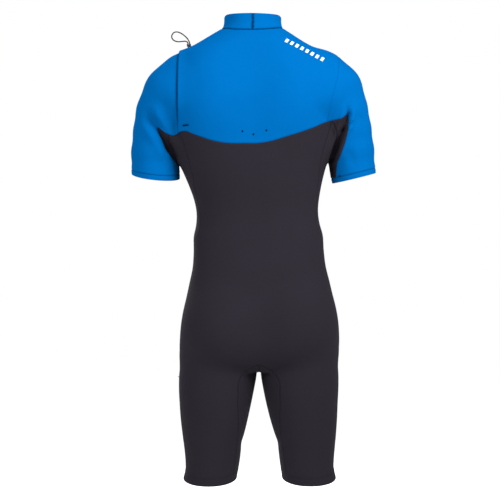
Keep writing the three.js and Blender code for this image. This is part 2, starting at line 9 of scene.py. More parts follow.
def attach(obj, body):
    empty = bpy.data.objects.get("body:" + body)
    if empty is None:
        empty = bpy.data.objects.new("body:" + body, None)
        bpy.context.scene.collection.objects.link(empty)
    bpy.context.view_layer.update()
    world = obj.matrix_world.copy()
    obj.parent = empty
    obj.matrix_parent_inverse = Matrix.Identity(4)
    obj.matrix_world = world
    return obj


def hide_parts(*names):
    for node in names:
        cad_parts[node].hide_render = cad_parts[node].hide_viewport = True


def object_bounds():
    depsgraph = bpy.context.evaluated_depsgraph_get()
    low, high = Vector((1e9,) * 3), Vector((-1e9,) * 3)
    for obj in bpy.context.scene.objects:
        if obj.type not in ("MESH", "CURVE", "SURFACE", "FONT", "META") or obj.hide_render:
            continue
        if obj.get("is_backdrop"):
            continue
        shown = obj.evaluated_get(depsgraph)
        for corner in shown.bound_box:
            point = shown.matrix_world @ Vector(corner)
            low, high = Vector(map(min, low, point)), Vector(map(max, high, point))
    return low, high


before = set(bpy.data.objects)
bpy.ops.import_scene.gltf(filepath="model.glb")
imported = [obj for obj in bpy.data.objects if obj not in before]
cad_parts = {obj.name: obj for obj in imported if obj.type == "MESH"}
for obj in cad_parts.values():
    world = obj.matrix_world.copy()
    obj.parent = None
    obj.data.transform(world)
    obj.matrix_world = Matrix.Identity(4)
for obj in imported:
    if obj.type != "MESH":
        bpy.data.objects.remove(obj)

CAD_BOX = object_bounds()

# ---------- sizes, in metres

MM = 0.001
FABRIC = 2.6 * MM                # neoprene thickness
GRID = 4.0 * MM                  # spacing of the net that the surface is made on
FINE = 2.1 * MM                  # longest edge beside a seam
HOLE_EDGE = 0.8 * MM             # longest edge round a drain hole
LONGEST_MOVE = 2.5 * MM          # of a point towards the surface, in one round
SNAP = 0.35 * MM                 # a vertex this close to a seam moves onto it
ARMHOLE = 0.158                  # distance of the armhole from the middle plane

ZIP_RADIUS = 0.42902             # the arc that the chest zip runs on
ZIP_AXIS = 0.32334
LEG_BAND = 16 * MM
SLEEVE_BAND = 11 * MM


# ---------- camera, floor, light

CAMERA_AWAY = 3.0
CAMERA_LEVEL = -0.473
FRAME_WIDTH = 1.075              # what the picture takes in at the suit's middle


def put_in_scene(name, data):
    thing = bpy.data.objects.new(name, data)
    bpy.context.scene.collection.objects.link(thing)
    return thing


def make_camera():
    data = bpy.data.cameras.new("camera")
    camera = put_in_scene("camera", data)
    camera.location = (0.0176, CAMERA_AWAY, CAMERA_LEVEL)
    camera.rotation_euler = (math.pi / 2, math.radians(0.86), math.pi)
    data.sensor_width = 36
    data.lens = 36 * CAMERA_AWAY / FRAME_WIDTH
    bpy.context.scene.camera = camera


# Soft lights: place, the point it faces, its size, its power and its spread in degrees.
LIGHTS = {
    "key": ((-1.9, 1.8, 1.1), (0, 0, 0), 1.3, 31, 58),
    "fill": ((2.4, 2.6, 0.9), (0, 0, 0), 2.0, 24, 58),
    "front": ((0.9, -2.4, 1.2), (0, 0, -0.35), 1.8, 150, 150),
}
FLOOR_LEVEL = -1.45
FLOOR_REACH = 30.0


def area_light(name, place, target, size, power, spread):
    data = bpy.data.lights.new(name, "AREA")
    data.shape = "SQUARE"
    data.size = size
    data.energy = power
    data.spread = math.radians(spread)
    light = put_in_scene(name, data)
    light.location = place
    light.rotation_euler = (Vector(target) - Vector(place)).to_track_quat("-Z", "Y").to_euler()


def make_studio():
    world = bpy.data.worlds.new("studio")
    bpy.context.scene.world = world
    world.use_nodes = True
    background = world.node_tree.nodes["Background"]
    background.inputs["Color"].default_value = (1, 1, 1, 1)
    background.inputs["Strength"].default_value = 1.0
    mesh = bpy.data.meshes.new("floor")
    corners = [
        (x * FLOOR_REACH, y * FLOOR_REACH, FLOOR_LEVEL) for x, y in ((-1, -1), (1, -1), (1, 1), (-1, 1))
    ]
    mesh.from_pydata(corners, [], [(0, 1, 2, 3)])
    floor = put_in_scene("floor", mesh)
    mesh.materials.append(new_material("floor", (1, 1, 1), 1.0, 0.0))
    floor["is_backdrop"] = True
    for name, settings in LIGHTS.items():
        area_light(name, *settings)
    view = bpy.context.scene.view_settings
    view.view_transform = "Standard"
    view.look = "None"


# ---------- the suit's form

def hermite(u, p, q, slope_p, slope_q):
    """The smooth way from p to q at the share u, with a slope at each end."""
    rest = (1 - u) ** 2
    return p * (1 + 2 * u) * rest + slope_p * u * rest + q * u * u * (3 - 2 * u) - slope_q * u * u * (1 - u)


def smooth_curve(*points):
    """A smooth function through (place, value) points in millimetres, level beyond its ends."""
    return smooth_through(np.array(sorted(points), float) / 1000)


def smooth_through(points):
    places, values = points.T
    slopes = np.gradient(values, places)

    def at(t):
        t = np.clip(t, places[0], places[-1])
        i = np.clip(np.searchsorted(places, t, side="right") - 1, 0, len(places) - 2)
        gap = places[i + 1] - places[i]
        u = (t - places[i]) / gap
        return hermite(u, values[i], values[i + 1], slopes[i] * gap, slopes[i + 1] * gap)

    return at


def smooth_step(t, low, high):
    u = np.clip((t - low) / (high - low), 0, 1)
    return u * u * (3 - 2 * u)


def bump(t, middle, width):
    return np.exp(-(((t - middle) / width) ** 2))


def rounded_section(x, y, half, back, front, squareness):
    """Zero on a rounded section that has its own depth to the back and to the front."""
    depth = np.where(y > 0, back, front)
    value = np.abs(x / half) ** squareness + np.abs(y / depth) ** squareness
    return (value ** (1 / squareness) - 1) * np.minimum(half, depth)


TORSO_HALF = smooth_curve(
    (-750, 124), (-738, 146), (-722, 162), (-705, 168.5), (-680, 171), (-649, 169), (-598, 162),
    (-546, 151), (-508, 142.5), (-475, 139.5), (-440, 138), (-420, 133), (-391, 130.5), (-365, 134),
    (-340, 140.5), (-305, 152), (-286, 159), (-255, 169), (-220, 176), (-180, 178), (-120, 177),
    (-80, 174), (-60, 168), (-46, 152), (-30, 122), (-16, 98), (-7, 83), (1, 69), (10, 50), (16, 30),
)
TORSO_BACK = smooth_curve(
    (-750, 50), (-730, 70), (-708, 94), (-675, 112), (-630, 113), (-580, 107), (-520, 98), (-460, 91),
    (-391, 90), (-330, 98), (-260, 109), (-190, 114), (-130, 110), (-80, 98), (-46, 84), (-25, 73),
    (-10, 60), (3, 43), (16, 25),
)
TORSO_FRONT = smooth_curve(
    (-745, 40), (-730, 72), (-700, 90), (-650, 98), (-580, 103), (-500, 105), (-420, 103), (-350, 104),
    (-280, 109), (-220, 112), (-180, 111.5), (-140, 106), (-100, 94), (-64, 77), (-46, 66), (-30, 50),
    (-12, 30), (3, 12),
)
LEG_OUTER = smooth_curve(
    (-1020, 168), (-982, 166.5), (-968, 165.5), (-956, 162.5), (-942, 159.2), (-925, 159.2),
    (-900, 161.2), (-873, 164.2), (-838, 167.5), (-804, 169.5), (-765, 171.2), (-740, 170.8),
    (-717, 168.5), (-695, 164), (-665, 151),
)
LEG_INNER = smooth_curve(
    (-1020, 50), (-975, 49.5), (-955, 47.5), (-930, 43.5), (-905, 40.5), (-885, 38.5), (-870, 33.5),
    (-838, 24.5), (-804, 16.5), (-770, 9.5), (-748, 5.5), (-725, 3),
)
LEG_BACK = smooth_curve(
    (-1020, 72), (-975, 70), (-955, 68.5), (-930, 68), (-880, 73), (-820, 83), (-780, 88), (-745, 90),
    (-715, 93.5), (-680, 98),
)
LEG_FRONT = smooth_curve(
    (-1020, 66), (-975, 64), (-955, 62.5), (-920, 63), (-870, 68), (-800, 78), (-740, 86), (-690, 90),
)

TORSO_FOOT = -0.729               # at the middle; it hangs lower inside the legs
MIDDLE_SOFTNESS = 18 * MM         # rounds the valley between the left and right swellings

# Arm stations: x, z and radius along the arm's middle line, from the shoulder down.
ARM_LEFT = [
    (0.122, -0.1015, 0.0620), (0.139, -0.117, 0.0680), (0.162, -0.141, 0.0715), (0.186, -0.178, 0.0625),
    (0.201, -0.219, 0.0545), (0.2095, -0.262, 0.0508), (0.2120, -0.305, 0.0493), (0.2120, -0.380, 0.049),
]
ARM_RIGHT = [
    (0.118, -0.101, 0.060), (0.138, -0.113, 0.0712), (0.162, -0.139, 0.0738), (0.184, -0.178, 0.0625),
    (0.199, -0.219, 0.0545), (0.2085, -0.262, 0.0500), (0.2120, -0.305, 0.0470), (0.2150, -0.380, 0.047),
]
ARM_DEEPER = 1.14                # the arm is deeper than it is wide
SHOULDER_DROP = 5 * MM           # the right shoulder is held lower


def blend_union(a, b, radius):
    """The union of two distances, rounded where they meet."""
    h = np.clip(0.5 + 0.5 * (b - a) / radius, 0, 1)
    return b + (a - b) * h - radius * h * (1 - h)


def round_cone(x, y, z, a, b, r1, r2):
    """Distance to the hull of two balls."""
    axis = [q - p for p, q in zip(a, b)]
    from_a = [x - a[0], y - a[1], z - a[2]]
    length2 = sum(c * c for c in axis)
    rr = r1 - r2
    a2 = length2 - rr * rr
    along = sum(p * c for p, c in zip(from_a, axis))
    beyond = along - length2
    x2 = sum((p * length2 - along * c) ** 2 for p, c in zip(from_a, axis))
    y2, z2 = along * along * length2, beyond * beyond * length2
    k = np.sign(rr) * rr * rr * x2
    near_b = np.sign(beyond) * a2 * z2 > k
    near_a = np.sign(along) * a2 * y2 < k
    side = (np.sqrt(x2 * a2 / length2) + along * rr) / length2 - r1
    past_a = np.sqrt(x2 + y2) / length2 - r1
    past_b = np.sqrt(x2 + z2) / length2 - r2
    return np.where(near_b, past_b, np.where(near_a, past_a, side))


def torso_value(x, y, z):
    half, back, front = TORSO_HALF(z), TORSO_BACK(z), TORSO_FRONT(z)
    squareness = 2.1 + 0.3 * smooth_step(z, -0.74, -0.60) * (1 - smooth_step(z, -0.10, -0.03))
    value = rounded_section(x, y, half, back, front, squareness)
    foot = TORSO_FOOT - 24 * MM * smooth_step(np.abs(x), 0.015, 0.075)
    return np.maximum(value, foot - z)


def leg_value(x, y, z):
    outer, inner = LEG_OUTER(z), LEG_INNER(z)
    middle, half = (outer + inner) / 2, (outer - inner) / 2
    value = rounded_section(np.abs(x) - middle, y, half, LEG_BACK(z), LEG_FRONT(z), 2.12)
    return np.maximum(value, (z + 0.66) * 0.6)


def collar_value(x, y, z):
    lean = smooth_step(z, -0.03, 0.03) * 8 * MM
    flare = 5 * MM * (1 - smooth_step(z, -0.030, 0.020))
    half = 0.0615 + flare
    value = rounded_section(x, y + lean, half, 0.054 + flare, 0.060 + flare, 2.05)
    return np.maximum(value, -(z + 0.12))


def ball(x, y, z, middle, radii):
    places = zip((x, y, z), middle, radii)
    return (np.sqrt(sum(((p - m) / r) ** 2 for p, m, r in places)) - 1) * min(radii)


def slope_of(field, x, y, z, step):
    """A field's value, and how fast it grows along each axis."""
    here = field(x, y, z)
    moved = (field(x + step, y, z), field(x, y + step, z), field(x, y, z + step))
    return here, [(there - here) / step for there in moved]


def even(value, x, y, z):
    """Turns a value into about a distance, by dividing it by how fast it grows."""
    here, slope = slope_of(value, x, y, z, 0.5 * MM)
    return here / np.maximum(np.sqrt(sum(part ** 2 for part in slope)), 0.25)


def arm_distance(x, y, z):
    best = None
    depth = y / ARM_DEEPER + 4 * MM * smooth_step(-z, 0.1, 0.35)
    for side, stations in ((1, ARM_LEFT), (-1, ARM_RIGHT)):
        for (xa, za, ra), (xb, zb, rb) in zip(stations, stations[1:]):
            d = round_cone(x * side, depth, z, (xa, 0, za), (xb, 0, zb), ra, rb)
            best = d if best is None else blend_union(best, d, 9 * MM)
    return best


def flank_distance(x, y, z):
    """The fold of the back that runs from under the shoulder blade into the arm."""
    low, high = (0.118, 0.030, -0.295), (0.186, 0.026, -0.205)
    low_radius, high_radius = 0.016, 0.034
    return round_cone(np.abs(x), y, z, low, high, low_radius, high_radius)


# Swellings of each half of the trunk: middle, radii, and how softly each one runs into the rest.
SWELLINGS = (
    ((0.078, 0.066, -0.150), (0.070, 0.046, 0.085), 36 * MM),     # shoulder blade
    ((0.074, 0.040, -0.640), (0.079, 0.085, 0.088), 34 * MM),     # seat
    ((0.072, -0.058, -0.190), (0.075, 0.048, 0.058), 24 * MM),    # chest
)
FLANK_SOFTNESS = 16 * MM


def trunk_distance(x, y, z):
    side = np.hypot(x, MIDDLE_SOFTNESS)
    trunk = even(torso_value, x, y, z)
    for middle, radii, softness in SWELLINGS:
        trunk = blend_union(trunk, ball(side, y, z, middle, radii), softness)
    return blend_union(trunk, flank_distance(x, y, z), FLANK_SOFTNESS)


# How softly the arm runs into the trunk, at each level.
ARMPIT_SOFTNESS = smooth_through(np.array([
    (-0.300, 4 * MM), (-0.235, 6 * MM), (-0.205, 16 * MM), (-0.170, 36 * MM), (-0.125, 34 * MM),
    (-0.090, 20 * MM), (-0.060, 9 * MM),
]))


def body_distance(x, y, z):
    z = z + SHOULDER_DROP * smooth_step(-x, 0.03, 0.12) * smooth_step(z, -0.13, -0.05)
    crotch = 4 * MM + 8 * MM * smooth_step(np.abs(x), 0.01, 0.06)
    whole = blend_union(trunk_distance(x, y, z), even(leg_value, x, y, z), crotch)
    whole = blend_union(whole, arm_distance(x, y, z), ARMPIT_SOFTNESS(z))
    return blend_union(whole, even(collar_value, x, y, z), 7 * MM)


# ---------- surface from the form

def surface_net(distance, low, high, step):
    """Quads on the zero level of a distance, one vertex in each crossed cell."""
    axes = [np.arange(a, b + step, step) for a, b in zip(low, high)]
    d = np.empty([len(a) for a in axes])
    slab = 40
    for k in range(0, len(axes[2]), slab):
        grid = np.meshgrid(axes[0], axes[1], axes[2][k:k + slab], indexing="ij", sparse=True)
        d[:, :, k:k + slab] = distance(*grid)
    inside = d < 0
    shape = np.array(d.shape) - 1
    total, count = np.zeros([*shape, 3]), np.zeros(shape)
    for a in np.ndindex(2, 2, 2):
        for axis in range(3):
            if a[axis]:
                continue
            b = tuple(c + (n == axis) for n, c in enumerate(a))
            view = [tuple(slice(c, c + s) for c, s in zip(q, shape)) for q in (a, b)]
            crossed = inside[view[0]] != inside[view[1]]
            cells = np.nonzero(crossed)
            da, db = d[view[0]][cells], d[view[1]][cells]
            point = np.repeat(np.array(a, float)[None], len(da), 0)
            point[:, axis] += da / (da - db)
            total[cells] += point
            count[cells] += 1
    cells = np.nonzero(count)
    number = np.full(shape, -1)
    number[cells] = np.arange(len(cells[0]))
    verts = np.array(low) + step * (np.stack(cells, 1) + total[cells] / count[cells][:, None])
    quads = []
    for axis in range(3):
        sides = [(axis + 1) % 3, (axis + 2) % 3]
        where = np.argwhere(np.diff(inside, axis=axis))
        where = where[((where[:, sides] > 0) & (where[:, sides] < shape[sides])).all(1)]
        ring = []
        for offset in ((-1, -1), (0, -1), (0, 0), (-1, 0)):
            cell = where.copy()
            cell[:, sides] += offset
            ring.append(number[tuple(cell.T)])
        ring = np.stack(ring, 1)
        out = ~inside[tuple(where.T)]
        ring[out] = ring[out][:, ::-1]
        quads.append(ring)
    return verts, np.concatenate(quads)


def towards_surface(verts, rounds):
    """Moves points along the form's slope until they lie on it."""
    for _ in range(rounds):
        here, slope = slope_of(body_distance, *verts.T, 0.4 * MM)
        slope = np.stack(slope, 1)
        size2 = np.maximum((slope ** 2).sum(1), 0.05)
        move = slope * (here / size2)[:, None]
        length = np.linalg.norm(move, axis=1, keepdims=True)
        verts = verts - move * np.minimum(1, LONGEST_MOVE / np.maximum(length, 1e-9))
    return verts


def relax(verts, quads, rounds):
    """Evens the net out along the surface."""
    edges = sides_of(quads)
    edges = np.concatenate([edges, edges[:, ::-1]])
    count = np.maximum(np.bincount(edges[:, 0], minlength=len(verts)), 1)
    for _ in range(rounds):
        mean = np.stack([
            np.bincount(edges[:, 0], verts[edges[:, 1], i], len(verts)) / count for i in range(3)
        ], 1)
        verts = verts + 0.6 * (mean - verts)
        verts = towards_surface(verts, 1)
    return verts


# ---------- cutting the surface

# The parts of a triangle a, b, c that has new vertices on its first 1, 2 or 3 sides: p, q, r.
SPLITS = {1: ("apc", "pbc"), 2: ("pbq", "apq", "aqc"), 3: ("apr", "pbq", "rqc", "pqr")}


def split_some(tris, middles):
    """Splits triangles at the new vertices on their sides; -1 stands for none."""
    has = middles >= 0
    number = has.sum(1)
    out = [tris[number == 0]]
    for n, parts in SPLITS.items():
        rows = number == n
        turn = (np.argmin(has[rows], 1) + 1) % 3 if n == 2 else np.argmax(has[rows], 1)
        pick = (turn[:, None] + np.arange(3)) % 3
        turned = [np.take_along_axis(table[rows], pick, 1) for table in (tris, middles)]
        point = dict(zip("abcpqr", np.concatenate(turned, 1).T))
        out += [np.stack([point[letter] for letter in part], 1) for part in parts]
    return np.concatenate(out)


def split_edges(verts, tris, edges, places):
    """Puts a vertex on each given edge and splits the triangles beside it."""
    count = len(verts) + len(edges)
    key = edges[:, 0] * count + edges[:, 1]
    order = np.argsort(key)
    key, new = key[order], len(verts) + order
    touched = np.zeros(len(verts), bool)
    touched[edges] = True
    rows = touched[tris].sum(1) > 1
    some = tris[rows]
    middles = np.full((len(some), 3), -1)
    for i in range(3):
        pair = np.sort(some[:, [i, (i + 1) % 3]], axis=1)
        k = pair[:, 0] * count + pair[:, 1]
        found = np.clip(np.searchsorted(key, k), 0, len(key) - 1)
        hit = key[found] == k
        middles[hit, i] = new[found[hit]]
    points = verts[edges[:, 0]] * (1 - places[:, None]) + verts[edges[:, 1]] * places[:, None]
    return np.concatenate([verts, points]), np.concatenate([tris[~rows], split_some(some, middles)])


def sides_of(faces):
    """Every side of every face, in the direction that its face runs round."""
    count = faces.shape[1]
    return np.concatenate([faces[:, [i, (i + 1) % count]] for i in range(count)])


def edges_of(tris):
    size = tris.max() + 1
    low, high = np.sort(sides_of(tris), axis=1).T
    return np.stack(np.divmod(np.unique(low * size + high), size), 1)


def cut_along(verts, tris, field, region):
    """Adds vertices where a field is zero, inside a region."""
    rows = np.nonzero(region(*verts.T))[0]
    some = verts[rows]
    value, slope = slope_of(field, *some.T, 0.3 * MM)
    slope = np.stack(slope, 1)
    size2 = np.maximum((slope ** 2).sum(1), 1e-4)
    close = np.abs(value) / np.sqrt(size2) < SNAP
    verts = verts.copy()
    verts[rows[close]] -= slope[close] * (value[close] / size2[close])[:, None]
    full = np.full(len(verts), np.nan)
    full[rows] = np.where(close, 0, value)
    edges = edges_of(tris[~np.isnan(full[tris]).any(1)])
    a, b = full[edges[:, 0]], full[edges[:, 1]]
    crossed = a * b < 0
    if not crossed.any():
        return verts, tris
    a, b = a[crossed], b[crossed]
    return split_edges(verts, tris, edges[crossed], a / (a - b))


def refine(verts, tris, near, longest):
    """Halves the edges near something until none is long."""
    while True:
        edges = edges_of(tris)
        length = np.linalg.norm(verts[edges[:, 0]] - verts[edges[:, 1]], axis=1)
        long = (length > longest) & (near[edges[:, 0]] | near[edges[:, 1]])
        if not long.any():
            return verts, tris
        edges = edges[long]
        near = np.concatenate([near, near[edges[:, 0]] & near[edges[:, 1]]])
        verts, tris = split_edges(verts, tris, edges, np.full(len(edges), 0.5))


def keep(verts, faces, wanted):
    """Drops the other faces, and the points that only they had."""
    faces = faces[wanted]
    used = np.unique(faces)
    number = np.full(len(verts), -1)
    number[used] = np.arange(len(used))
    return verts[used], number[faces]


def halve(verts, quads):
    """Splits quads along their shorter diagonal."""
    a, b, c, d = quads.T
    short = np.linalg.norm(verts[a] - verts[c], axis=1) < np.linalg.norm(verts[b] - verts[d], axis=1)
    turned = np.where(short[:, None], quads, np.roll(quads, -1, axis=1))
    return np.concatenate([turned[:, [0, 1, 2]], turned[:, [0, 2, 3]]])


# ---------- the suit's seams

def hem_of_sleeve(x, y, z):
    left = -0.3120 + math.tan(math.radians(7)) * (x - 0.212) - 0.20 * y
    right = -0.3222 + math.tan(math.radians(12.6)) * (-x - 0.213) - 0.06 * y
    return z - np.where(x > 0, left, right)


def hem_of_leg(x, y, z):
    return z - (-0.9600 - 0.15 * y + 0.012 * x)


def top_of_sleeve_hem(x, y, z):
    return hem_of_sleeve(x, y, z) - SLEEVE_BAND


def top_of_leg_hem(x, y, z):
    return hem_of_leg(x, y, z) - LEG_BAND


YOKE_EDGE = smooth_curve(
    (-200, -193), (-182.5, -200), (-156, -207), (-129.5, -219), (-102.5, -229), (-63, -241),
    (-36, -248.5), (-10, -252), (16, -252), (56, -250.5), (82, -245.5), (109, -236), (127.5, -228.5),
    (141, -222.5), (150, -222.5), (162, -228.5), (180, -226), (200, -215),
)
UNDERARM_LEFT = smooth_curve(
    (-330, 161), (-286, 164), (-273, 170), (-247, 184), (-219, 200.5), (-195, 214),
)
UNDERARM_RIGHT = smooth_curve(
    (-330, 171.5), (-304, 174), (-292, 177), (-273, 186), (-247, 195.5), (-205, 202.5),
)
SIDE_LEFT = smooth_curve(
    (-481, 171), (-453, 136), (-425, 122.5), (-400, 122), (-352, 127), (-307, 132), (-268, 140),
    (-232, 151), (-222, 157),
)
SIDE_RIGHT = smooth_curve(
    (-481, 171), (-453, 136), (-425, 123.5), (-400, 123.5), (-363, 128), (-325, 134.4), (-282, 143),
    (-254, 151), (-230, 159), (-210, 164),
)
ARMHOLE_RIGHT = smooth_curve(
    (-230, 157), (-205, 157.5), (-186, 160), (-146, 170), (-106, 180), (-70, 184), (-40, 184),
)
THIGH_SEAM = smooth_curve(
    (-960, 58), (-890, 49), (-840, 43.5), (-780, 43.5), (-740, 37.5), (-724, 23), (-714, 3),
)
CHEST_SEAM = smooth_curve(
    (0, -140), (88, -140), (108, -138), (135, -128), (158, -114),
)
COLLAR_BASE = smooth_curve(
    (-85, -54), (-70, -44), (-50, -29), (-28, -12), (0, 1), (28, 0), (58, -7),
)
COLLAR_TOP = smooth_curve(
    (-75, -11), (-50, 4), (-20, 19), (5, 27.8), (50, 28.8),
)
WINDOW_HALF = 0.093
WINDOW_HIGH = 0.0149
ZIP_LEVEL = -0.140
WAIST_SIDE = -0.455              # where the side panels taper out
HOLES = ((0.0215, -0.227), (-0.001, -0.2335), (-0.028, -0.226))
HOLE_RADIUS = 1.25 * MM


def side_seam(x, y, z):
    return np.abs(x) - np.where(x > 0, SIDE_LEFT(z), SIDE_RIGHT(z))


def armhole(x, y, z):
    return np.abs(x) - np.where(x > 0, ARMHOLE - 1 * MM, ARMHOLE_RIGHT(z))


def yoke_edge(x, y, z):
    return z - YOKE_EDGE(x)


def underarm_edge(x, y, z):
    return np.abs(x) - np.where(x > 0, UNDERARM_LEFT(z), UNDERARM_RIGHT(z))


def crease(x, y, z):
    return arm_distance(x, y, z) - trunk_distance(x, y, z)


def thigh_seam(x, y, z):
    return np.abs(x) - THIGH_SEAM(z)


def chest_seam(x, y, z):
    return z - CHEST_SEAM(np.abs(x))


def collar_base(x, y, z):
    return z - COLLAR_BASE(y)


def collar_top(x, y, z):
    return z - COLLAR_TOP(y) - 0.025 * x


def collar_split(x, y, z):
    return x - np.where(y > 0, -0.0040 + 0.30 * z, 0.003)


def window_end(x, y, z):
    return np.abs(x) - WINDOW_HALF


def window_edge(x, y, z):
    return np.abs(z - ZIP_LEVEL) - WINDOW_HIGH


def drain_hole(x, y, z):
    return np.min([np.hypot(x - a, z - c) for a, c in HOLES], axis=0) - HOLE_RADIUS


def on_arm(x, y, z):
    return (np.abs(x) > 0.155) & (z < -0.19) & (z > -0.40)


def on_neck(x, y, z):
    return (np.abs(x) < 0.085) & (z > -0.075)


# Each seam or edge: where it is zero, and the part of the skin that it crosses.
SEAMS = (
    (hem_of_sleeve, on_arm),
    (top_of_sleeve_hem, on_arm),
    (hem_of_leg, lambda x, y, z: z < -0.93),
    (top_of_leg_hem, lambda x, y, z: z < -0.91),
    (yoke_edge, lambda x, y, z: (np.abs(x) < 0.212) & (z < -0.18) & (z > -0.27)),
    (underarm_edge, lambda x, y, z: on_arm(x, y, z) & (z < -0.192)),
    (crease, lambda x, y, z: on_arm(x, y, z) & (z < -0.20)),
    (side_seam, lambda x, y, z: (np.abs(x) < 0.185) & (z < -0.205) & (z > -0.49)),
    (armhole, lambda x, y, z: z > -0.245),
    (thigh_seam, lambda x, y, z: (np.abs(x) < 0.07) & (z < -0.70)),
    (lambda x, y, z: x, lambda x, y, z: (np.abs(x) < 0.02) & (z < -0.70)),    # between the legs
    (lambda x, y, z: y, lambda x, y, z: (np.abs(x) > 0.06) & ((z < -0.45) | (z > -0.075))),    # sides
    (chest_seam, lambda x, y, z: (y < -0.02) & (np.abs(x) < 0.165) & (z > -0.17)),
    (collar_top, on_neck),
    (collar_base, on_neck),
    (collar_split, lambda x, y, z: on_neck(x, y, z) & (np.abs(x) < 0.02)),
    (window_end, lambda x, y, z: (y < -0.02) & (np.abs(z - ZIP_LEVEL) < 0.02)),
    (window_edge, lambda x, y, z: (y < -0.02) & (np.abs(x) < 0.098)),
    (drain_hole, lambda x, y, z: (y > 0.02) & (np.abs(x) < 0.04) & (np.abs(z + 0.228) < 0.012)),
)

BLUE_PANELS = {"back_yoke", "neck_flap", "chest_panel", "collar", "sleeve", "sleeve_hem"}
PAIRED = (
    "sleeve_hem", "leg_hem", "underarm_panel", "sleeve", "side_panel", "inner_thigh_panel", "collar",
)


def panel_of(x, y, z):
    """The panel that each point of the skin belongs to, or nothing where it is cut away."""
    wide = np.abs(x)
    hem = hem_of_sleeve(x, y, z)
    arm = (wide > 0.157) & (z < -0.19) & (crease(x, y, z) < 0)
    above_yoke = yoke_edge(x, y, z) > 0
    outer_arm = (underarm_edge(x, y, z) > 0) & (z < -0.19)
    on_collar = (wide < 0.08) & (collar_base(x, y, z) > 0)
    beyond_armhole = armhole(x, y, z) > 0
    window = (y < 0) & (window_end(x, y, z) < 0) & (window_edge(x, y, z) < 0)
    hole = (y > 0) & (drain_hole(x, y, z) < 0)
    nothing = (
        (arm & (hem < 0))
        | (hem_of_leg(x, y, z) < 0)
        | (on_collar & (collar_top(x, y, z) > 0))
        | window
        | hole
    )
    leg_hem = top_of_leg_hem(x, y, z) < 0
    rules = (
        (nothing, ""),
        (arm & (hem < SLEEVE_BAND), "sleeve_hem"),
        (leg_hem, "leg_hem"),
        (on_collar, "collar"),
        ((arm & outer_arm) | (beyond_armhole & above_yoke), "sleeve"),
        (arm & ~above_yoke, "underarm_panel"),
        (~above_yoke & (z > -0.485) & (side_seam(x, y, z) > 0), "side_panel"),
        ((z < -0.7135) & (thigh_seam(x, y, z) < 0), "inner_thigh_panel"),
        ((y > 0) & above_yoke, "back_yoke"),
        (y > 0, "back_body"),
        (above_yoke & (chest_seam(x, y, z) > 0), "neck_flap"),
        (above_yoke, "chest_panel"),
    )
    names = np.select([r[0] for r in rules], [r[1] for r in rules], "front_body").astype("U24")
    paired = np.isin(names, PAIRED)
    ending = np.where(x > 0, "_left", "_right")
    return np.where(paired, np.char.add(names, ending), names)


def panel_kind(name):
    return name.rsplit("_", 1)[0] if name.endswith(("_left", "_right")) else name


# How far the stance carries each level towards the wearer's left.
LEAN = smooth_curve(
    (-970, 5), (-920, 3.5), (-800, 3.8), (-730, 2.5), (-660, 0), (-420, 0), (-370, 1.5), (-290, 7),
    (-200, 8), (-80, 7), (0, 5), (30, 4),
)


def leaning(verts):
    _, y, z = verts.T
    free_of_zip = np.where(z > -0.30, smooth_step(y, -0.085, -0.030), 1.0)
    return verts + np.stack([LEAN(z) * free_of_zip, 0 * y, 0 * z], 1)


# Folds behind the arms, in millimetres: points across and up, then the depth and the half width.
FOLDS = (
    (((238, -165), (226, -190), (210, -216), (193, -243), (176, -272)), 9.0, 9.0),
    (((216, -206), (193, -243), (174, -275)), 4.5, 4.0),
    (((196, -150), (190, -180), (186, -205)), 1.2, 12.0),
    (((-196, -165), (-194, -190), (-183, -218), (-171, -248), (-160, -281)), 9.5, 5.2),
    (((-172, -234), (-186, -222), (-199, -208)), 5.5, 3.3),
    (((-188, -214), (-194, -200), (-196, -186)), 3.0, 3.0),
    (((-214, -186), (-226, -206), (-230, -222)), 1.4, 5.0),
    (((-190, -262), (-200, -280), (-205, -300)), 1.2, 7.0),
)


def line_distance(x, z, points):
    """Distance, seen from behind, from a chain of points, and how far along it is nearest."""
    best, share = np.full(len(x), 9.0), np.zeros(len(x))
    for i, (p, q) in enumerate(zip(points, points[1:])):
        way = q - p
        u = np.clip(((x - p[0]) * way[0] + (z - p[1]) * way[1]) / (way @ way), 0, 1)
        d = np.hypot(x - p[0] - u * way[0], z - p[1] - u * way[1])
        share = np.where(d < best, (i + u) / (len(points) - 1), share)
        best = np.minimum(best, d)
    return best, share


def fold_depth(verts):
    x, y, z = verts.T
    depth = np.zeros(len(x))
    for points, deep, wide in FOLDS:
        d, share = line_distance(x, z, np.array(points) / 1000)
        ends = smooth_step(share, 0.0, 0.35) * (1 - 0.6 * smooth_step(share, 0.85, 1.0))
        valley = bump(d, 0, wide * MM)
        ridge = 0.35 * bump(d, 2.1 * wide * MM, wide * MM)
        depth += deep * MM * ends * (valley - ridge)
    return depth * smooth_step(y, 0.0, 0.02)


def flatten_at_zip(verts):
    """The skin lies on the zip's arc round its window."""
    x, y, z = verts.T
    beside = smooth_step(np.abs(x), WINDOW_HALF + 3 * MM, WINDOW_HALF + 30 * MM)
    above = smooth_step(np.abs(z - ZIP_LEVEL), WINDOW_HIGH + 2 * MM, WINDOW_HIGH + 30 * MM)
    share = (1 - beside) * (1 - above) * (y < 0)
    arc = ZIP_AXIS - np.sqrt(ZIP_RADIUS ** 2 - x * x) - 1.5 * MM
    out = verts.copy()
    out[:, 1] = y + share * (arc - y)
    return out


def vertex_normals(verts, tris):
    a, b, c = (verts[tris[:, i]] for i in range(3))
    face = np.cross(b - a, c - a)
    total = np.stack([
        sum(np.bincount(tris[:, i], face[:, k], len(verts)) for i in range(3)) for k in range(3)
    ], 1)
    return total / np.maximum(np.linalg.norm(total, axis=1, keepdims=True), 1e-12)


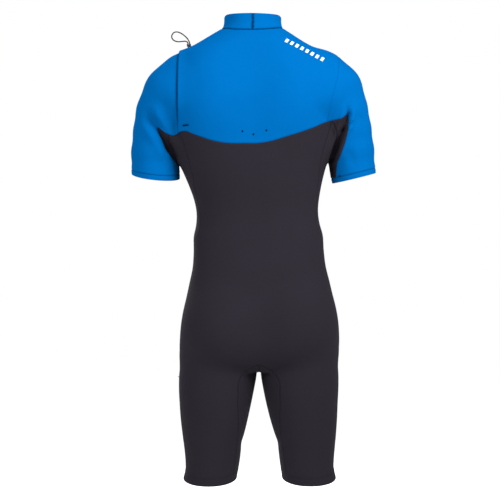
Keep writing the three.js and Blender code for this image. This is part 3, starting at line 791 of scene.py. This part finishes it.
NET_LOW = (-0.273, -0.136, -0.993)
NET_HIGH = (0.273, 0.140, 0.043)
SPARE = 8 * MM                   # kept past each opening until it is cut
SEAM_REACH = 5 * MM              # the net is made finer this close to a seam


def make_skin():
    """The whole skin with every seam cut in: points, triangles and each triangle's panel."""
    verts, quads = surface_net(body_distance, NET_LOW, NET_HIGH, GRID)
    kept = ~(on_arm(*verts.T) & (hem_of_sleeve(*verts.T) < -SPARE))
    kept &= (hem_of_leg(*verts.T) > -SPARE) & (~on_neck(*verts.T) | (collar_top(*verts.T) < SPARE))
    verts, quads = keep(verts, quads, kept[quads].all(1))
    verts = towards_surface(verts, 3)
    verts = relax(verts, quads, 2)
    tris = halve(verts, quads)
    near = np.zeros(len(verts), bool)
    for field, region in SEAMS:
        rows = np.nonzero(region(*verts.T))[0]
        near[rows[np.abs(field(*verts[rows].T)) < SEAM_REACH]] = True
    verts, tris = refine(verts, tris, near, FINE)
    near = (verts[:, 1] > 0) & (drain_hole(*verts.T) < 4 * MM)
    verts, tris = refine(verts, tris, near, HOLE_EDGE)
    verts = towards_surface(verts, 1)
    for field, region in SEAMS:
        verts, tris = cut_along(verts, tris, field, region)
    names = panel_of(*verts[tris].mean(1).T)
    verts = towards_surface(verts, 1)
    verts = leaning(verts)
    verts = verts - vertex_normals(verts, tris) * fold_depth(verts)[:, None]
    return flatten_at_zip(verts), tris, names


# ---------- meshes and materials

def make_object(name, verts, faces, material, sharp=40):
    """A piece on the suit's body; sharp is the angle between faces that stays an edge."""
    mesh = bpy.data.meshes.new(name)
    if isinstance(faces, np.ndarray):
        mesh.vertices.add(len(verts))
        mesh.vertices.foreach_set("co", np.asarray(verts, np.float32).ravel())
        sides = faces.shape[1]
        mesh.loops.add(faces.size)
        mesh.loops.foreach_set("vertex_index", faces.astype(np.int32).ravel())
        mesh.polygons.add(len(faces))
        mesh.polygons.foreach_set("loop_start", np.arange(0, faces.size, sides, dtype=np.int32))
        mesh.update(calc_edges=True)
        mesh.validate()
    else:
        mesh.from_pydata([tuple(v) for v in verts], [], faces)
    return finish_object(name, mesh, material, "suit", sharp)


def finish_object(name, mesh, material, body, sharp):
    mesh.shade_smooth()
    mesh.set_sharp_from_angle(angle=math.radians(sharp))
    mesh.materials.append(material)
    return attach(put_in_scene(name, mesh), body)


def new_material(name, colour, roughness, specular):
    material = bpy.data.materials.new(name)
    material.use_nodes = True
    shader = material.node_tree.nodes["Principled BSDF"]
    shader.inputs["Base Color"].default_value = (*colour, 1)
    shader.inputs["Roughness"].default_value = roughness
    shader.inputs["Specular IOR Level"].default_value = specular
    return material


def add_node(tree, kind, inputs=None, **settings):
    node = tree.nodes.new(kind)
    for key, value in settings.items():
        setattr(node, key, value)
    for key, value in (inputs or {}).items():
        if isinstance(value, bpy.types.NodeSocket):
            tree.links.new(value, node.inputs[key])
        else:
            node.inputs[key].default_value = value
    return node


def mixed(tree, share, one, two):
    """A colour between two, each a colour or a socket."""
    node = add_node(tree, "ShaderNodeMix", data_type="RGBA", blend_type="MIX")
    for socket, value in ((node.inputs["Factor"], share), (node.inputs[6], one), (node.inputs[7], two)):
        if isinstance(value, bpy.types.NodeSocket):
            tree.links.new(value, socket)
        else:
            socket.default_value = value
    return node.outputs[2]


def textured(name, colour, roughness, specular):
    """A material, its node tree and shader, and the socket of the place on the object."""
    material = new_material(name, colour, roughness, specular)
    tree = material.node_tree
    place = add_node(tree, "ShaderNodeTexCoord").outputs["Object"]
    return material, tree, tree.nodes["Principled BSDF"], place


def noise(tree, place, scale, detail):
    inputs = {"Vector": place, "Scale": scale, "Detail": detail}
    return add_node(tree, "ShaderNodeTexNoise", inputs).outputs["Fac"]


def waves(tree, place, direction, scale, distortion, **more):
    inputs = {"Vector": place, "Scale": scale, "Distortion": distortion, **more}
    return add_node(tree, "ShaderNodeTexWave", inputs, bands_direction=direction).outputs["Fac"]


def combined(tree, one, two, operation="ADD"):
    return add_node(tree, "ShaderNodeMath", {0: one, 1: two}, operation=operation).outputs[0]


def raise_by(tree, shader, height, strength, distance):
    """Lets a height move the surface's slope."""
    bumps = add_node(tree, "ShaderNodeBump", {"Height": height, "Strength": strength, "Distance": distance})
    tree.links.new(bumps.outputs["Normal"], shader.inputs["Normal"])


def jersey(name, colour, dark, specular, tint=(1.12, 1.12, 1.12)):
    """Knitted nylon over foam: fine ribs, lighter in places by the tint, with painted shade down in the
    seams.
    """
    material, tree, shader, place = textured(name, colour, 0.86, specular)
    cloud = noise(tree, place, 9.0, 4.0)
    grain = noise(tree, place, 900.0, 2.0)
    yarn = {"Detail": 1.0, "Detail Scale": 6.0}
    ribs = waves(tree, place, "X", 160.0, 1.2, **yarn)
    rows = waves(tree, place, "Z", 210.0, 1.0, **yarn)
    # A per-point attribute gives how much painted shade darkens each point along the seams.
    painted_seam_shade = add_node(tree, "ShaderNodeAttribute", attribute_name="painted_seam_shade").outputs["Fac"]
    light = tuple(c * more for c, more in zip(colour, tint))
    tone = mixed(tree, cloud, (*[c * 0.95 for c in colour], 1), (*light, 1))
    tone = mixed(tree, combined(tree, grain, 0.16, "MULTIPLY"), tone, (*dark, 1))
    # Painted shade: the colour goes towards the dark colour along the seams.
    tone = mixed(tree, painted_seam_shade, tone, (*dark, 1))
    tree.links.new(tone, shader.inputs["Base Color"])
    height = combined(tree, combined(tree, ribs, rows), grain)
    raise_by(tree, shader, height, 0.35, 0.4 * MM)
    return material


def moulded(name, colour, roughness=0.42, specular=0.35):
    """Moulded plastic or rubber with a fine spark-eroded grain."""
    material, tree, shader, place = textured(name, colour, roughness, specular)
    rough = add_node(tree, "ShaderNodeMapRange", {
        "Value": noise(tree, place, 160.0, 3.0), "To Min": roughness - 0.08, "To Max": roughness + 0.12,
    })
    tree.links.new(rough.outputs[0], shader.inputs["Roughness"])
    raise_by(tree, shader, noise(tree, place, 2400.0, 2.0), 0.25, 0.1 * MM)
    return material


def woven(name, colour, dark, scale):
    """Woven tape or braided cord: two crossing sets of fine ridges."""
    material, tree, shader, place = textured(name, colour, 0.8, 0.15)
    ridges = []
    for angle in (45, -45):
        turn = {"Vector": place, "Axis": (0, 1, 0), "Angle": math.radians(angle)}
        turned = add_node(tree, "ShaderNodeVectorRotate", turn).outputs[0]
        ridges.append(waves(tree, turned, "X", scale, 0.5))
    height = combined(tree, *ridges, "MULTIPLY")
    tree.links.new(mixed(tree, height, (*dark, 1), (*colour, 1)), shader.inputs["Base Color"])
    raise_by(tree, shader, height, 0.6, 0.4 * MM)
    return material


def make_materials():
    return {
        # Each jersey's second colour darkens its fine grain and is the painted shade along its seams.
        "blue": jersey("blue_jersey", (0.0001, 0.0535, 0.175), (0.0001, 0.013, 0.046), 0.0),
        "charcoal": jersey(
            "charcoal_jersey", (0.0096, 0.0084, 0.0110), (0.003, 0.0026, 0.0036), 0.02, (1.12, 1.09, 1.22),
        ),
        "lining": jersey("lining", (0.010, 0.010, 0.012), (0.004, 0.004, 0.005), 0.02),
        "blue_thread": new_material("blue_thread", (0.0004, 0.042, 0.140), 0.7, 0.03),
        "navy_thread": new_material("navy_thread", (0.0003, 0.010, 0.036), 0.7, 0.02),
        "dark_thread": new_material("dark_thread", (0.004, 0.004, 0.006), 0.7, 0.05),
        "white_print": new_material("white_print", (0.42, 0.43, 0.44), 0.5, 0.1),
        "tape": woven("zip_tape", (0.018, 0.018, 0.020), (0.006, 0.006, 0.007), 420.0),
        "cord": woven("cord_braid", (0.020, 0.021, 0.026), (0.005, 0.005, 0.006), 520.0),
        "plastic": moulded("zip_plastic", (0.012, 0.012, 0.014)),
        "lock": moulded("lock_plastic", (0.005, 0.005, 0.006)),
        "rubber": moulded("guide_rubber", (0.020, 0.020, 0.023), 0.6, 0.2),
    }


# ---------- panels

def tree_of(points):
    tree = KDTree(len(points))
    for i, point in enumerate(points):
        tree.insert(point, i)
    tree.balance()
    return tree


def seam_distance(verts, tris, names, wanted):
    """How far each point is from the nearest wanted line between two panels."""
    kinds, number = np.unique(names, return_inverse=True)
    low = np.full(len(verts), len(kinds) - 1)
    high = np.zeros(len(verts), int)
    for i in range(3):
        np.minimum.at(low, tris[:, i], number)
        np.maximum.at(high, tris[:, i], number)
    table = np.array([[p != q and p != "" and wanted(p, q) for q in kinds] for p in kinds])
    on_seam = np.nonzero(table[low, high])[0]
    tree = tree_of(verts[on_seam])
    distance = np.full(len(verts), 1.0)
    for row in np.unique(tris[names != ""]):
        distance[row] = min(1.0, tree.find(verts[row])[2])
    return distance


def strong_seam(a, b):
    """The collar's seams and the left armhole: deeper grooves, with stronger painted shade along them."""
    return "collar" in a or "collar" in b or {a, b} == {"back_yoke", "sleeve_left"}


def open_edges(tris):
    """The directed edges that only one triangle has."""
    edges = sides_of(tris)
    size = tris.max() + 1
    forward, backward = edges[:, 0] * size + edges[:, 1], edges[:, 1] * size + edges[:, 0]
    return edges[~np.isin(forward, backward)]


def close_panel(outer, tris, inward, thickness):
    """Gives a patch of skin its thickness: an inner face and a rim."""
    count = len(outer)
    inner = outer + inward * thickness
    rim = open_edges(tris)
    a, b = rim.T
    walls = np.concatenate([
        np.stack([b, a, a + count], 1),
        np.stack([b, a + count, b + count], 1),
    ])
    faces = np.concatenate([tris, tris[:, ::-1] + count, walls])
    return np.concatenate([outer, inner]), faces


SHEET_STRETCH = 1.03             # the worn suit is this much larger than the cut pieces, by area
CUT_FILL = 0.7                   # how much of its flat rectangle a shaped piece fills
BANDS = {"sleeve_hem": SLEEVE_BAND, "leg_hem": LEG_BAND, "collar": 35 * MM}   # cut as strips


def declare_sheet(kind, outer, tris):
    a, b, c = (outer[tris[:, i]] for i in range(3))
    area = float(np.linalg.norm(np.cross(b - a, c - a), axis=1).sum() / 2 / SHEET_STRETCH)
    if kind in BANDS:
        width = BANDS[kind]
        length = area / width
    else:
        length = float(np.ptp(outer, axis=0).max())
        width = area / CUT_FILL / length


def seam_relief(verts, tris, names):
    """How far the cloth stands out or sinks at each point by its seams, and how much painted shade darkens
    it there.
    """
    distance = seam_distance(verts, tris, names, lambda a, b: "leg_hem" not in a + b)
    strong_seam_distance = seam_distance(verts, tris, names, strong_seam)
    x, _, z = verts.T
    # The seams fade where the side panels end and round the right armhole.
    quiet = 1 - 0.75 * bump(z, WAIST_SIDE, 30 * MM) * (np.abs(x) > 0.12)
    quiet -= 0.6 * smooth_step(-x, 0.140, 0.152) * smooth_step(z, -0.212, -0.190)
    groove = -0.9 * MM * quiet * bump(distance, 0, 1.3 * MM) - 1.3 * MM * bump(strong_seam_distance, 0, 2.4 * MM)
    puff = 0.25 * MM * bump(distance, 4.0 * MM, 2.6 * MM)
    # Painted shade in the seam grooves, strongest at the collar and the left armhole.
    dark = np.maximum(0.4 * quiet * bump(distance, 0, 1.1 * MM), 0.95 * bump(strong_seam_distance, 0, 2.3 * MM))
    return groove + puff, dark


# Where a panel laps over its neighbour: how proud it stands, and the middle and width of the lap.
LAPS = {
    "back_yoke": (2.0 * MM, ARMHOLE + 7 * MM, 11 * MM),
    "sleeve_left": (-1.6 * MM, ARMHOLE + 8 * MM, 7 * MM),
    "collar_left": (0.9 * MM, 0, 8 * MM),
}


def overlap_lift(name, points):
    """The yoke's edge laps over the left sleeve, and one half of the collar over the other."""
    x, y, z = points.T
    proud, middle, width = LAPS.get(name, (0, 0, 1))
    return proud * bump(x, middle, width) * ((y > -0.01) & (z > -0.235))


def make_panels(materials):
    verts, tris, names = make_skin()
    normals = vertex_normals(verts, tris)
    relief, dark = seam_relief(verts, tris, names)
    skin = verts + normals * relief[:, None]
    for name in np.unique(names):
        if name == "":
            continue
        patch = tris[names == name]
        rows = np.unique(patch)
        number = np.zeros(len(verts), int)
        number[rows] = np.arange(len(rows))
        outer, local = skin[rows], number[patch]
        lift = overlap_lift(name, verts[rows])
        outer = outer + normals[rows] * lift[:, None]
        points, faces = close_panel(outer, local, -normals[rows], FABRIC)
        kind = panel_kind(name)
        fabric = materials["blue" if kind in BLUE_PANELS else "charcoal"]
        piece = make_object(f"{name}_fabric", points, faces, fabric)
        piece.data.materials.append(materials["lining"])
        lined = np.zeros(len(faces), np.int32)
        lined[len(local):2 * len(local)] = 1
        piece.data.polygons.foreach_set("material_index", lined)
        # Painted shade along the seams on the outer face, none on the lining.
        shade = piece.data.attributes.new("painted_seam_shade", "FLOAT", "POINT")
        both = np.concatenate([dark[rows], np.zeros(len(rows))])
        shade.data.foreach_set("value", both.astype(np.float32))
        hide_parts(name)
        declare_sheet(kind, outer, local)
    return skin, tris, names, normals


# ---------- drawcord

CORD_DIAMETER = 2.6 * MM
CORD_LEVEL_Y = -8 * MM
CORD_ROUTE = (
    (140.9, -36.3), (140.9, -32.0), (141.0, -26.5), (142.6, -20.5), (146.4, -14.6),
    (152.0, -9.0), (158.5, -4.2), (165.0, -1.2), (171.0, -0.7), (176.0, -3.0),
    (179.0, -7.8), (179.2, -12.8), (176.3, -17.6), (171.0, -20.6), (164.5, -21.8),
    (157.0, -21.2), (150.8, -20.9), (146.2, -22.6), (144.4, -27.0), (144.3, -32.0),
    (144.3, -37.6),
)                                # across and up, in millimetres


def smooth_route(points, steps):
    """More points on a smooth line through the given ones."""
    points = np.array(points, float)
    tangents = np.gradient(points, axis=0)
    out = []
    for p, q, tp, tq in zip(points, points[1:], tangents, tangents[1:]):
        out += [hermite(u, p, q, tp, tq) for u in np.arange(steps) / steps]
    return np.array([*out, points[-1]])


def make_cord(materials):
    flat = smooth_route([(x * MM, CORD_LEVEL_Y, z * MM) for x, z in CORD_ROUTE], 6)
    curve = bpy.data.curves.new("neck_drawcord", "CURVE")
    curve.dimensions = "3D"
    curve.bevel_depth = CORD_DIAMETER / 2
    curve.bevel_resolution = 4
    curve.use_fill_caps = True
    line = curve.splines.new("POLY")
    line.points.add(len(flat) - 1)
    for point, place in zip(line.points, flat):
        point.co = (*place, 1)
    line.use_smooth = True
    curve.materials.append(materials["cord"])
    cord = put_in_scene("neck_drawcord", curve)
    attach(cord, "suit")
    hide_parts("neck_cord")


# ---------- small pieces

def softened(node, name, material, body="suit", radius=0.3 * MM):
    """A copy of a moulded CAD piece with its edges rounded."""
    form = bmesh.new()
    form.from_mesh(bpy.data.objects[node].data)
    bmesh.ops.remove_doubles(form, verts=form.verts, dist=0.01 * MM)
    bmesh.ops.dissolve_limit(form, angle_limit=math.radians(4), verts=form.verts, edges=form.edges)
    corners = [e for e in form.edges if e.is_manifold and e.calc_face_angle() > math.radians(35)]
    bmesh.ops.bevel(
        form, geom=corners, offset=radius, offset_type="OFFSET", segments=3, profile=0.5,
        affect="EDGES", clamp_overlap=True,
    )
    mesh = bpy.data.meshes.new(name)
    form.to_mesh(mesh)
    form.free()
    piece = finish_object(name, mesh, material, body, 38)
    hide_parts(node)
    return piece


class Solids:
    """Collects many small closed forms into one mesh."""

    def __init__(self):
        self.verts, self.faces, self.count = [], [], 0

    def add(self, verts, faces):
        self.verts.append(np.asarray(verts, float))
        self.faces += [tuple(i + self.count for i in face) for face in faces]
        self.count += len(verts)

    def make(self, name, material, sharp=60):
        return make_object(name, np.concatenate(self.verts), self.faces, material, sharp)


def loop_faces(rings, sides):
    """Faces of a closed form through rings of equally many points."""
    faces = []
    for r in range(rings - 1):
        for i in range(sides):
            j = (i + 1) % sides
            faces.append((r * sides + i, r * sides + j, (r + 1) * sides + j, (r + 1) * sides + i))
    faces.append(tuple(reversed(range(sides))))
    faces.append(tuple(range((rings - 1) * sides, rings * sides)))
    return faces


THREAD = 0.32 * MM               # radius
STITCH_LONG = 2.6 * MM
STITCH_GAP = 1.0 * MM
BLIND_PITCH = 2.2 * MM
BLIND_REACH = 1.5 * MM
HEM_ROWS = (-1.2 * MM, 1.4 * MM)
COLLAR_ROWS = (2.2 * MM,)
HEMS = {"sleeve_hem", "leg_hem", "collar"}


def add_stitch(solids, start, end, normal, radius=THREAD):
    """One stitch: a short thread that dips into the cloth at both ends."""
    along = end - start
    length = np.linalg.norm(along)
    along = along / max(length, 1e-9)
    across = np.cross(normal, along)
    rings = []
    for share, high, size in ((0.0, -0.5, 0.5), (0.22, 0.35, 1.0), (0.78, 0.35, 1.0), (1.0, -0.5, 0.5)):
        middle = start + along * length * share + normal * radius * high
        for angle in np.arange(5) * 2 * math.pi / 5:
            rings.append(middle + size * radius * (across * math.cos(angle) + normal * math.sin(angle)))
    solids.add(rings, loop_faces(4, 5))


def seam_chains(tris, names, wanted):
    """Ordered runs of points along the line between two kinds of panel."""
    low, high = np.sort(sides_of(tris), axis=1).T
    owner = np.tile(names, 3)
    size = tris.max() + 1
    key = low * size + high
    order = np.argsort(key, kind="stable")
    key, owner = key[order], owner[order]
    twin = np.nonzero(key[:-1] == key[1:])[0]
    a, b = owner[twin], owner[twin + 1]
    hit = (a != b) & (a != "") & (b != "")
    hit &= np.array([wanted(p, q) or wanted(q, p) for p, q in zip(a, b)]) if hit.any() else hit
    pairs = np.stack([key[twin][hit] // size, key[twin][hit] % size], 1)
    beside = {}
    for p, q in pairs:
        beside.setdefault(int(p), set()).add(int(q))
        beside.setdefault(int(q), set()).add(int(p))
    chains = []
    ends = [p for p, near in beside.items() if len(near) != 2]
    for start in [*sorted(ends), *sorted(beside)]:
        while beside.get(start):
            chain = [start]
            while beside.get(chain[-1]):
                here = chain[-1]
                there = min(beside[here])
                beside[here].discard(there)
                beside[there].discard(here)
                chain.append(there)
            chains.append(chain)
    return [chain for chain in chains if len(chain) > 6]


def even_points(points, pitch):
    """Points at an even spacing along a line."""
    step = np.linalg.norm(np.diff(points, axis=0), axis=1)
    along = np.concatenate([[0], np.cumsum(step)])
    count = max(2, int(along[-1] / pitch) + 1)
    places = np.linspace(0, along[-1], count)
    return np.stack([np.interp(places, along, points[:, i]) for i in range(3)], 1)


def smooth_line(points):
    points = points.copy()
    for _ in range(3):
        points[1:-1] = (points[:-2] + 2 * points[1:-1] + points[2:]) / 4
    return points


BEHIND = 0.20                     # a place well clear of the back


class Skin:
    """Finds points and normals on the finished skin."""

    def __init__(self, verts, tris, names, normals):
        self.verts, self.tris, self.names, self.normals = verts, tris, names, normals
        self.rows = np.unique(tris[names != ""])
        self.tree = tree_of(verts[self.rows])

    def near(self, point):
        """The closest point of the skin, and the normal there."""
        found = self.tree.find_n(point, 4)
        weights = np.array([1 / (1e-5 + f[2]) for f in found])
        weights /= weights.sum()
        rows = [self.rows[f[1]] for f in found]
        normal = (self.normals[rows] * weights[:, None]).sum(0)
        normal /= np.linalg.norm(normal)
        middle = (self.verts[rows] * weights[:, None]).sum(0)
        point = np.asarray(point, float)
        return point + normal * ((middle - point) @ normal), normal

    def from_back(self, x, z):
        """The skin's point seen at x and z from behind."""
        y = BEHIND
        upright = x - float(LEAN(z))
        for _ in range(60):
            gap = float(body_distance(np.array([upright]), np.array([y]), np.array([z]))[0])
            y -= gap
            if abs(gap) < 0.02 * MM:
                break
        return self.near((x, y, z))


def along_seam(skin, chain, pitch):
    """At an even pitch along a seam: the skin's point and normal, and the ways along and across."""
    points = even_points(smooth_line(skin.verts[chain]), pitch)
    for p, q in zip(points, points[1:]):
        middle, normal = skin.near((p + q) / 2)
        along = (q - p) / np.linalg.norm(q - p)
        yield middle, normal, along, np.cross(normal, along)


def stitch_rows(solids, skin, chain, offsets):
    """Rows of stitches beside a seam, each a distance up or down from it."""
    for offset in offsets:
        for middle, _, along, across in along_seam(skin, chain, STITCH_LONG + STITCH_GAP):
            up = -across if across[2] < 0 else across
            base, normal = skin.near(middle + up * offset)
            half = along * STITCH_LONG / 2
            add_stitch(solids, base - half, base + half, normal)


def cross_stitches(solids, skin, chain):
    """Slanted blind stitches that cross a seam."""
    for i, (middle, normal, along, across) in enumerate(along_seam(skin, chain, BLIND_PITCH)):
        lean = along * BLIND_PITCH * 0.25 * (1 if i % 2 else -1)
        base = middle - normal * 0.45 * MM
        reach = across * BLIND_REACH + lean
        add_stitch(solids, base - reach, base + reach, normal, 0.22 * MM)


def plain(a, b):
    return not HEMS & {panel_kind(a), panel_kind(b)}


def both_blue(a, b):
    return plain(a, b) and {panel_kind(a), panel_kind(b)} <= BLUE_PANELS


def stitch_hole(solids, skin, x, z):
    """A ring of stitches round a drain hole."""
    middle, normal = skin.from_back(x + float(LEAN(z)), z)
    side = np.cross(normal, (0, 0, 1))
    side /= np.linalg.norm(side)
    up = np.cross(side, normal)
    for angle in np.arange(14) * 2 * math.pi / 14:
        ray = side * math.cos(angle) + up * math.sin(angle)
        start = middle + ray * (HOLE_RADIUS - 0.2 * MM)
        add_stitch(solids, start, start + ray * 1.3 * MM, normal, 0.3 * MM)


def make_stitching(materials, skin):
    blue, dark = Solids(), Solids()
    hems = (("sleeve_hem", blue, HEM_ROWS), ("leg_hem", dark, HEM_ROWS), ("collar", blue, COLLAR_ROWS))
    for kind, solids, rows in hems:
        for chain in seam_chains(skin.tris, skin.names, lambda a, b: panel_kind(a) == kind):
            stitch_rows(solids, skin, chain, rows)
    for chain in seam_chains(skin.tris, skin.names, both_blue):
        cross_stitches(blue, skin, chain)
    for chain in seam_chains(skin.tris, skin.names, lambda a, b: plain(a, b) and not both_blue(a, b)):
        cross_stitches(dark, skin, chain)
    for x, z in HOLES:
        stitch_hole(dark, skin, x, z)
    blue.make("stitching_blue", materials["blue_thread"])
    dark.make("stitching_dark", materials["dark_thread"])


def bar_tack(skin, name, x, z, width, height, proud, material):
    """A dense row of thread that holds the end of a seam, on cloth that stands proud of the skin."""
    solids = Solids()
    count = int(width / (0.6 * MM))
    for i in range(count):
        across = x - width / 2 + width * (i + 0.5) / count
        low, normal = skin.from_back(across, z - height / 2)
        high, _ = skin.from_back(across, z + height / 2)
        lift = normal * proud
        add_stitch(solids, low + lift, high + lift, normal, 0.36 * MM)
    solids.make(name, material)


PRINT_FROM = np.array([-0.064, -0.033])
PRINT_TO = np.array([-0.148, -0.079])
PRINT_SLANT = np.array([-0.56, 0.83])
DASHES = 8
DASH_HIGH = 9 * MM
DASH_SHARE = 0.5                 # of the pitch from one dash to the next
DASH_POINTS = 4                  # along each side of a dash
INK_PROUD = 0.22 * MM
INK_THICK = 0.52 * MM


def make_print(materials, skin):
    """A plain row of slanted dashes on the right shoulder, printed on the cloth."""
    length = np.linalg.norm(PRINT_TO - PRINT_FROM)
    along = (PRINT_TO - PRINT_FROM) / length
    pitch = length / DASHES
    wide = pitch * DASH_SHARE
    steps = range(DASH_POINTS)
    cells = [r * DASH_POINTS + c for r in steps[1:] for c in steps[1:]]
    quads = np.array([(a - DASH_POINTS - 1, a - DASH_POINTS, a, a - 1) for a in cells])
    solids = Solids()
    for i in range(DASHES):
        corner = PRINT_FROM + along * pitch * i
        top, inward = [], []
        for r in steps:
            for c in steps:
                share = c / (DASH_POINTS - 1), r / (DASH_POINTS - 1) - 0.5
                x, z = corner + along * wide * share[0] + PRINT_SLANT * DASH_HIGH * share[1]
                point, normal = skin.from_back(x, z)
                top.append(point + normal * INK_PROUD)
                inward.append(-normal)
        top = np.array(top)
        solids.add(*close_panel(top, halve(top, quads), np.array(inward), INK_THICK))
    solids.make("shoulder_print", materials["white_print"], sharp=40)


# ---------- chest zip

TOOTH_PITCH = 2.2 * MM
ROW_GAP = 2.6 * MM
TOOTH_HIGH = 2.0 * MM
TAPE_HIGH = 11 * MM
TAPE_FROM = ROW_GAP / 2 + TOOTH_HIGH + 0.3 * MM
ZIP_HALF = 88 * MM


def arc_point(angle, out, up):
    radius = ZIP_RADIUS + out
    return np.array([radius * math.sin(angle), ZIP_AXIS - radius * math.cos(angle), ZIP_LEVEL + up])


def arc_strip(solids, start, end, outline, steps):
    """A closed strip along the zip's arc; outline is (out, up) points round its section."""
    rings = [
        arc_point(angle, out, up)
        for angle in np.linspace(start, end, steps)
        for out, up in outline
    ]
    solids.add(rings, loop_faces(steps, len(outline)))


def rounded_outline(out_half, low, high, corner):
    """Points round a section with rounded corners, as arc_strip takes them."""
    points = []
    centres = (
        (out_half - corner, high - corner, 0), (-out_half + corner, high - corner, 90),
        (-out_half + corner, low + corner, 180), (out_half - corner, low + corner, 270),
    )
    for out, up, turn in centres:
        for angle in (0, 30, 60, 90):
            a = math.radians(turn + angle)
            points.append((out + corner * math.cos(a), up + corner * math.sin(a)))
    return points[::-1]


ROW_TOP = ROW_GAP / 2 + TOOTH_HIGH
TAPE_HALF = 0.6 * MM              # half the thickness of the tape and of the strip under the teeth
TAPE_SPAN = (ZIP_HALF + 4 * MM) / ZIP_RADIUS
TEETH_SPAN = (ZIP_HALF - 3.25 * MM) / ZIP_RADIUS


def make_tape(name, sign, material):
    low, high = sorted((sign * TAPE_FROM, sign * (TAPE_FROM + TAPE_HIGH)))
    tape = Solids()
    arc_strip(tape, -TAPE_SPAN, TAPE_SPAN, rounded_outline(TAPE_HALF, low, high, 0.25 * MM), 61)
    piece = tape.make(f"woven_tape_{name}", material)
    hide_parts(f"zip_tape_{name}")


def make_teeth(name, sign, material):
    teeth = Solids()
    strip = sorted((sign * (ROW_TOP - 0.7 * MM), sign * ROW_TOP))
    arc_strip(teeth, -TEETH_SPAN, TEETH_SPAN, rounded_outline(TAPE_HALF, *strip, 0.2 * MM), 61)
    edges = sorted((sign * ROW_GAP / 2, sign * (ROW_TOP - 0.3 * MM)))
    outline = rounded_outline(1.4 * MM, *edges, 0.45 * MM)
    pitch = TOOTH_PITCH / ZIP_RADIUS
    count = int(2 * (TEETH_SPAN - pitch) / pitch)
    for i in range(count + 1):
        middle = (i - count / 2 + 0.25 * sign) * pitch
        arc_strip(teeth, middle - 0.30 * pitch, middle + 0.30 * pitch, outline, 2)
    piece = teeth.make(f"zip_coil_{name}", material, sharp=50)
    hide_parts(f"zip_teeth_{name}")


def make_tape_stitching(name, sign, material):
    stitches = Solids()
    steps = np.linspace(-TAPE_SPAN * 0.97, TAPE_SPAN * 0.97, 52)
    for inset in (1.6 * MM, 3.4 * MM):
        up = sign * (TAPE_FROM + TAPE_HIGH - inset)
        for a, b in zip(steps, steps[1:]):
            gap = 0.15 * (b - a)
            start, end = arc_point(a + gap, TAPE_HALF, up), arc_point(b - gap, TAPE_HALF, up)
            add_stitch(stitches, start, end, np.array([math.sin(a), -math.cos(a), 0.0]), 0.25 * MM)
    stitches.make(f"tape_stitching_{name}", material)


def make_zip(materials):
    for name, sign in (("upper", 1), ("lower", -1)):
        make_tape(name, sign, materials["tape"])
        make_teeth(name, sign, materials["plastic"])
        make_tape_stitching(name, sign, materials["dark_thread"])
    for node in ("zip_stop_left", "zip_stop_right"):
        softened(node, f"{node}_moulded", materials["plastic"])
    for node in ("zip_slider", "zip_pull"):
        softened(node, f"{node}_moulded", materials["plastic"], node, 0.25 * MM)
    barrier = softened(
        "zip_barrier", "zip_barrier_flap", materials["lining"], radius=0.5 * MM,
    )


def make_lock(materials):
    lock, rubber = materials["lock"], materials["rubber"]
    return [
        softened("cord_lock_body", "cord_lock_shell", lock, "suit", 0.9 * MM),
        softened("cord_lock_button", "cord_lock_cap", lock, "cord_lock_button", 0.4 * MM),
        softened("cord_guide", "cord_guide_patch", rubber, "suit", 0.4 * MM),
    ]


# ---------- the whole scene

make_camera()
MATERIALS = make_materials()
LOCK = make_lock(MATERIALS)
make_cord(MATERIALS)
SKIN = Skin(*make_panels(MATERIALS))
make_stitching(MATERIALS, SKIN)
NAVY = MATERIALS["navy_thread"]
bar_tack(SKIN, "bar_tack_yoke", 0.1477, -0.2105, 12 * MM, 3.5 * MM, 1.2 * MM, NAVY)
bar_tack(SKIN, "bar_tack_sleeve", -0.1745, -0.3185, 5 * MM, 5 * MM, 0.0, NAVY)
make_print(MATERIALS, SKIN)
make_zip(MATERIALS)
make_studio()

[[list(corner) for corner in box] for box in (CAD_BOX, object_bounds())]
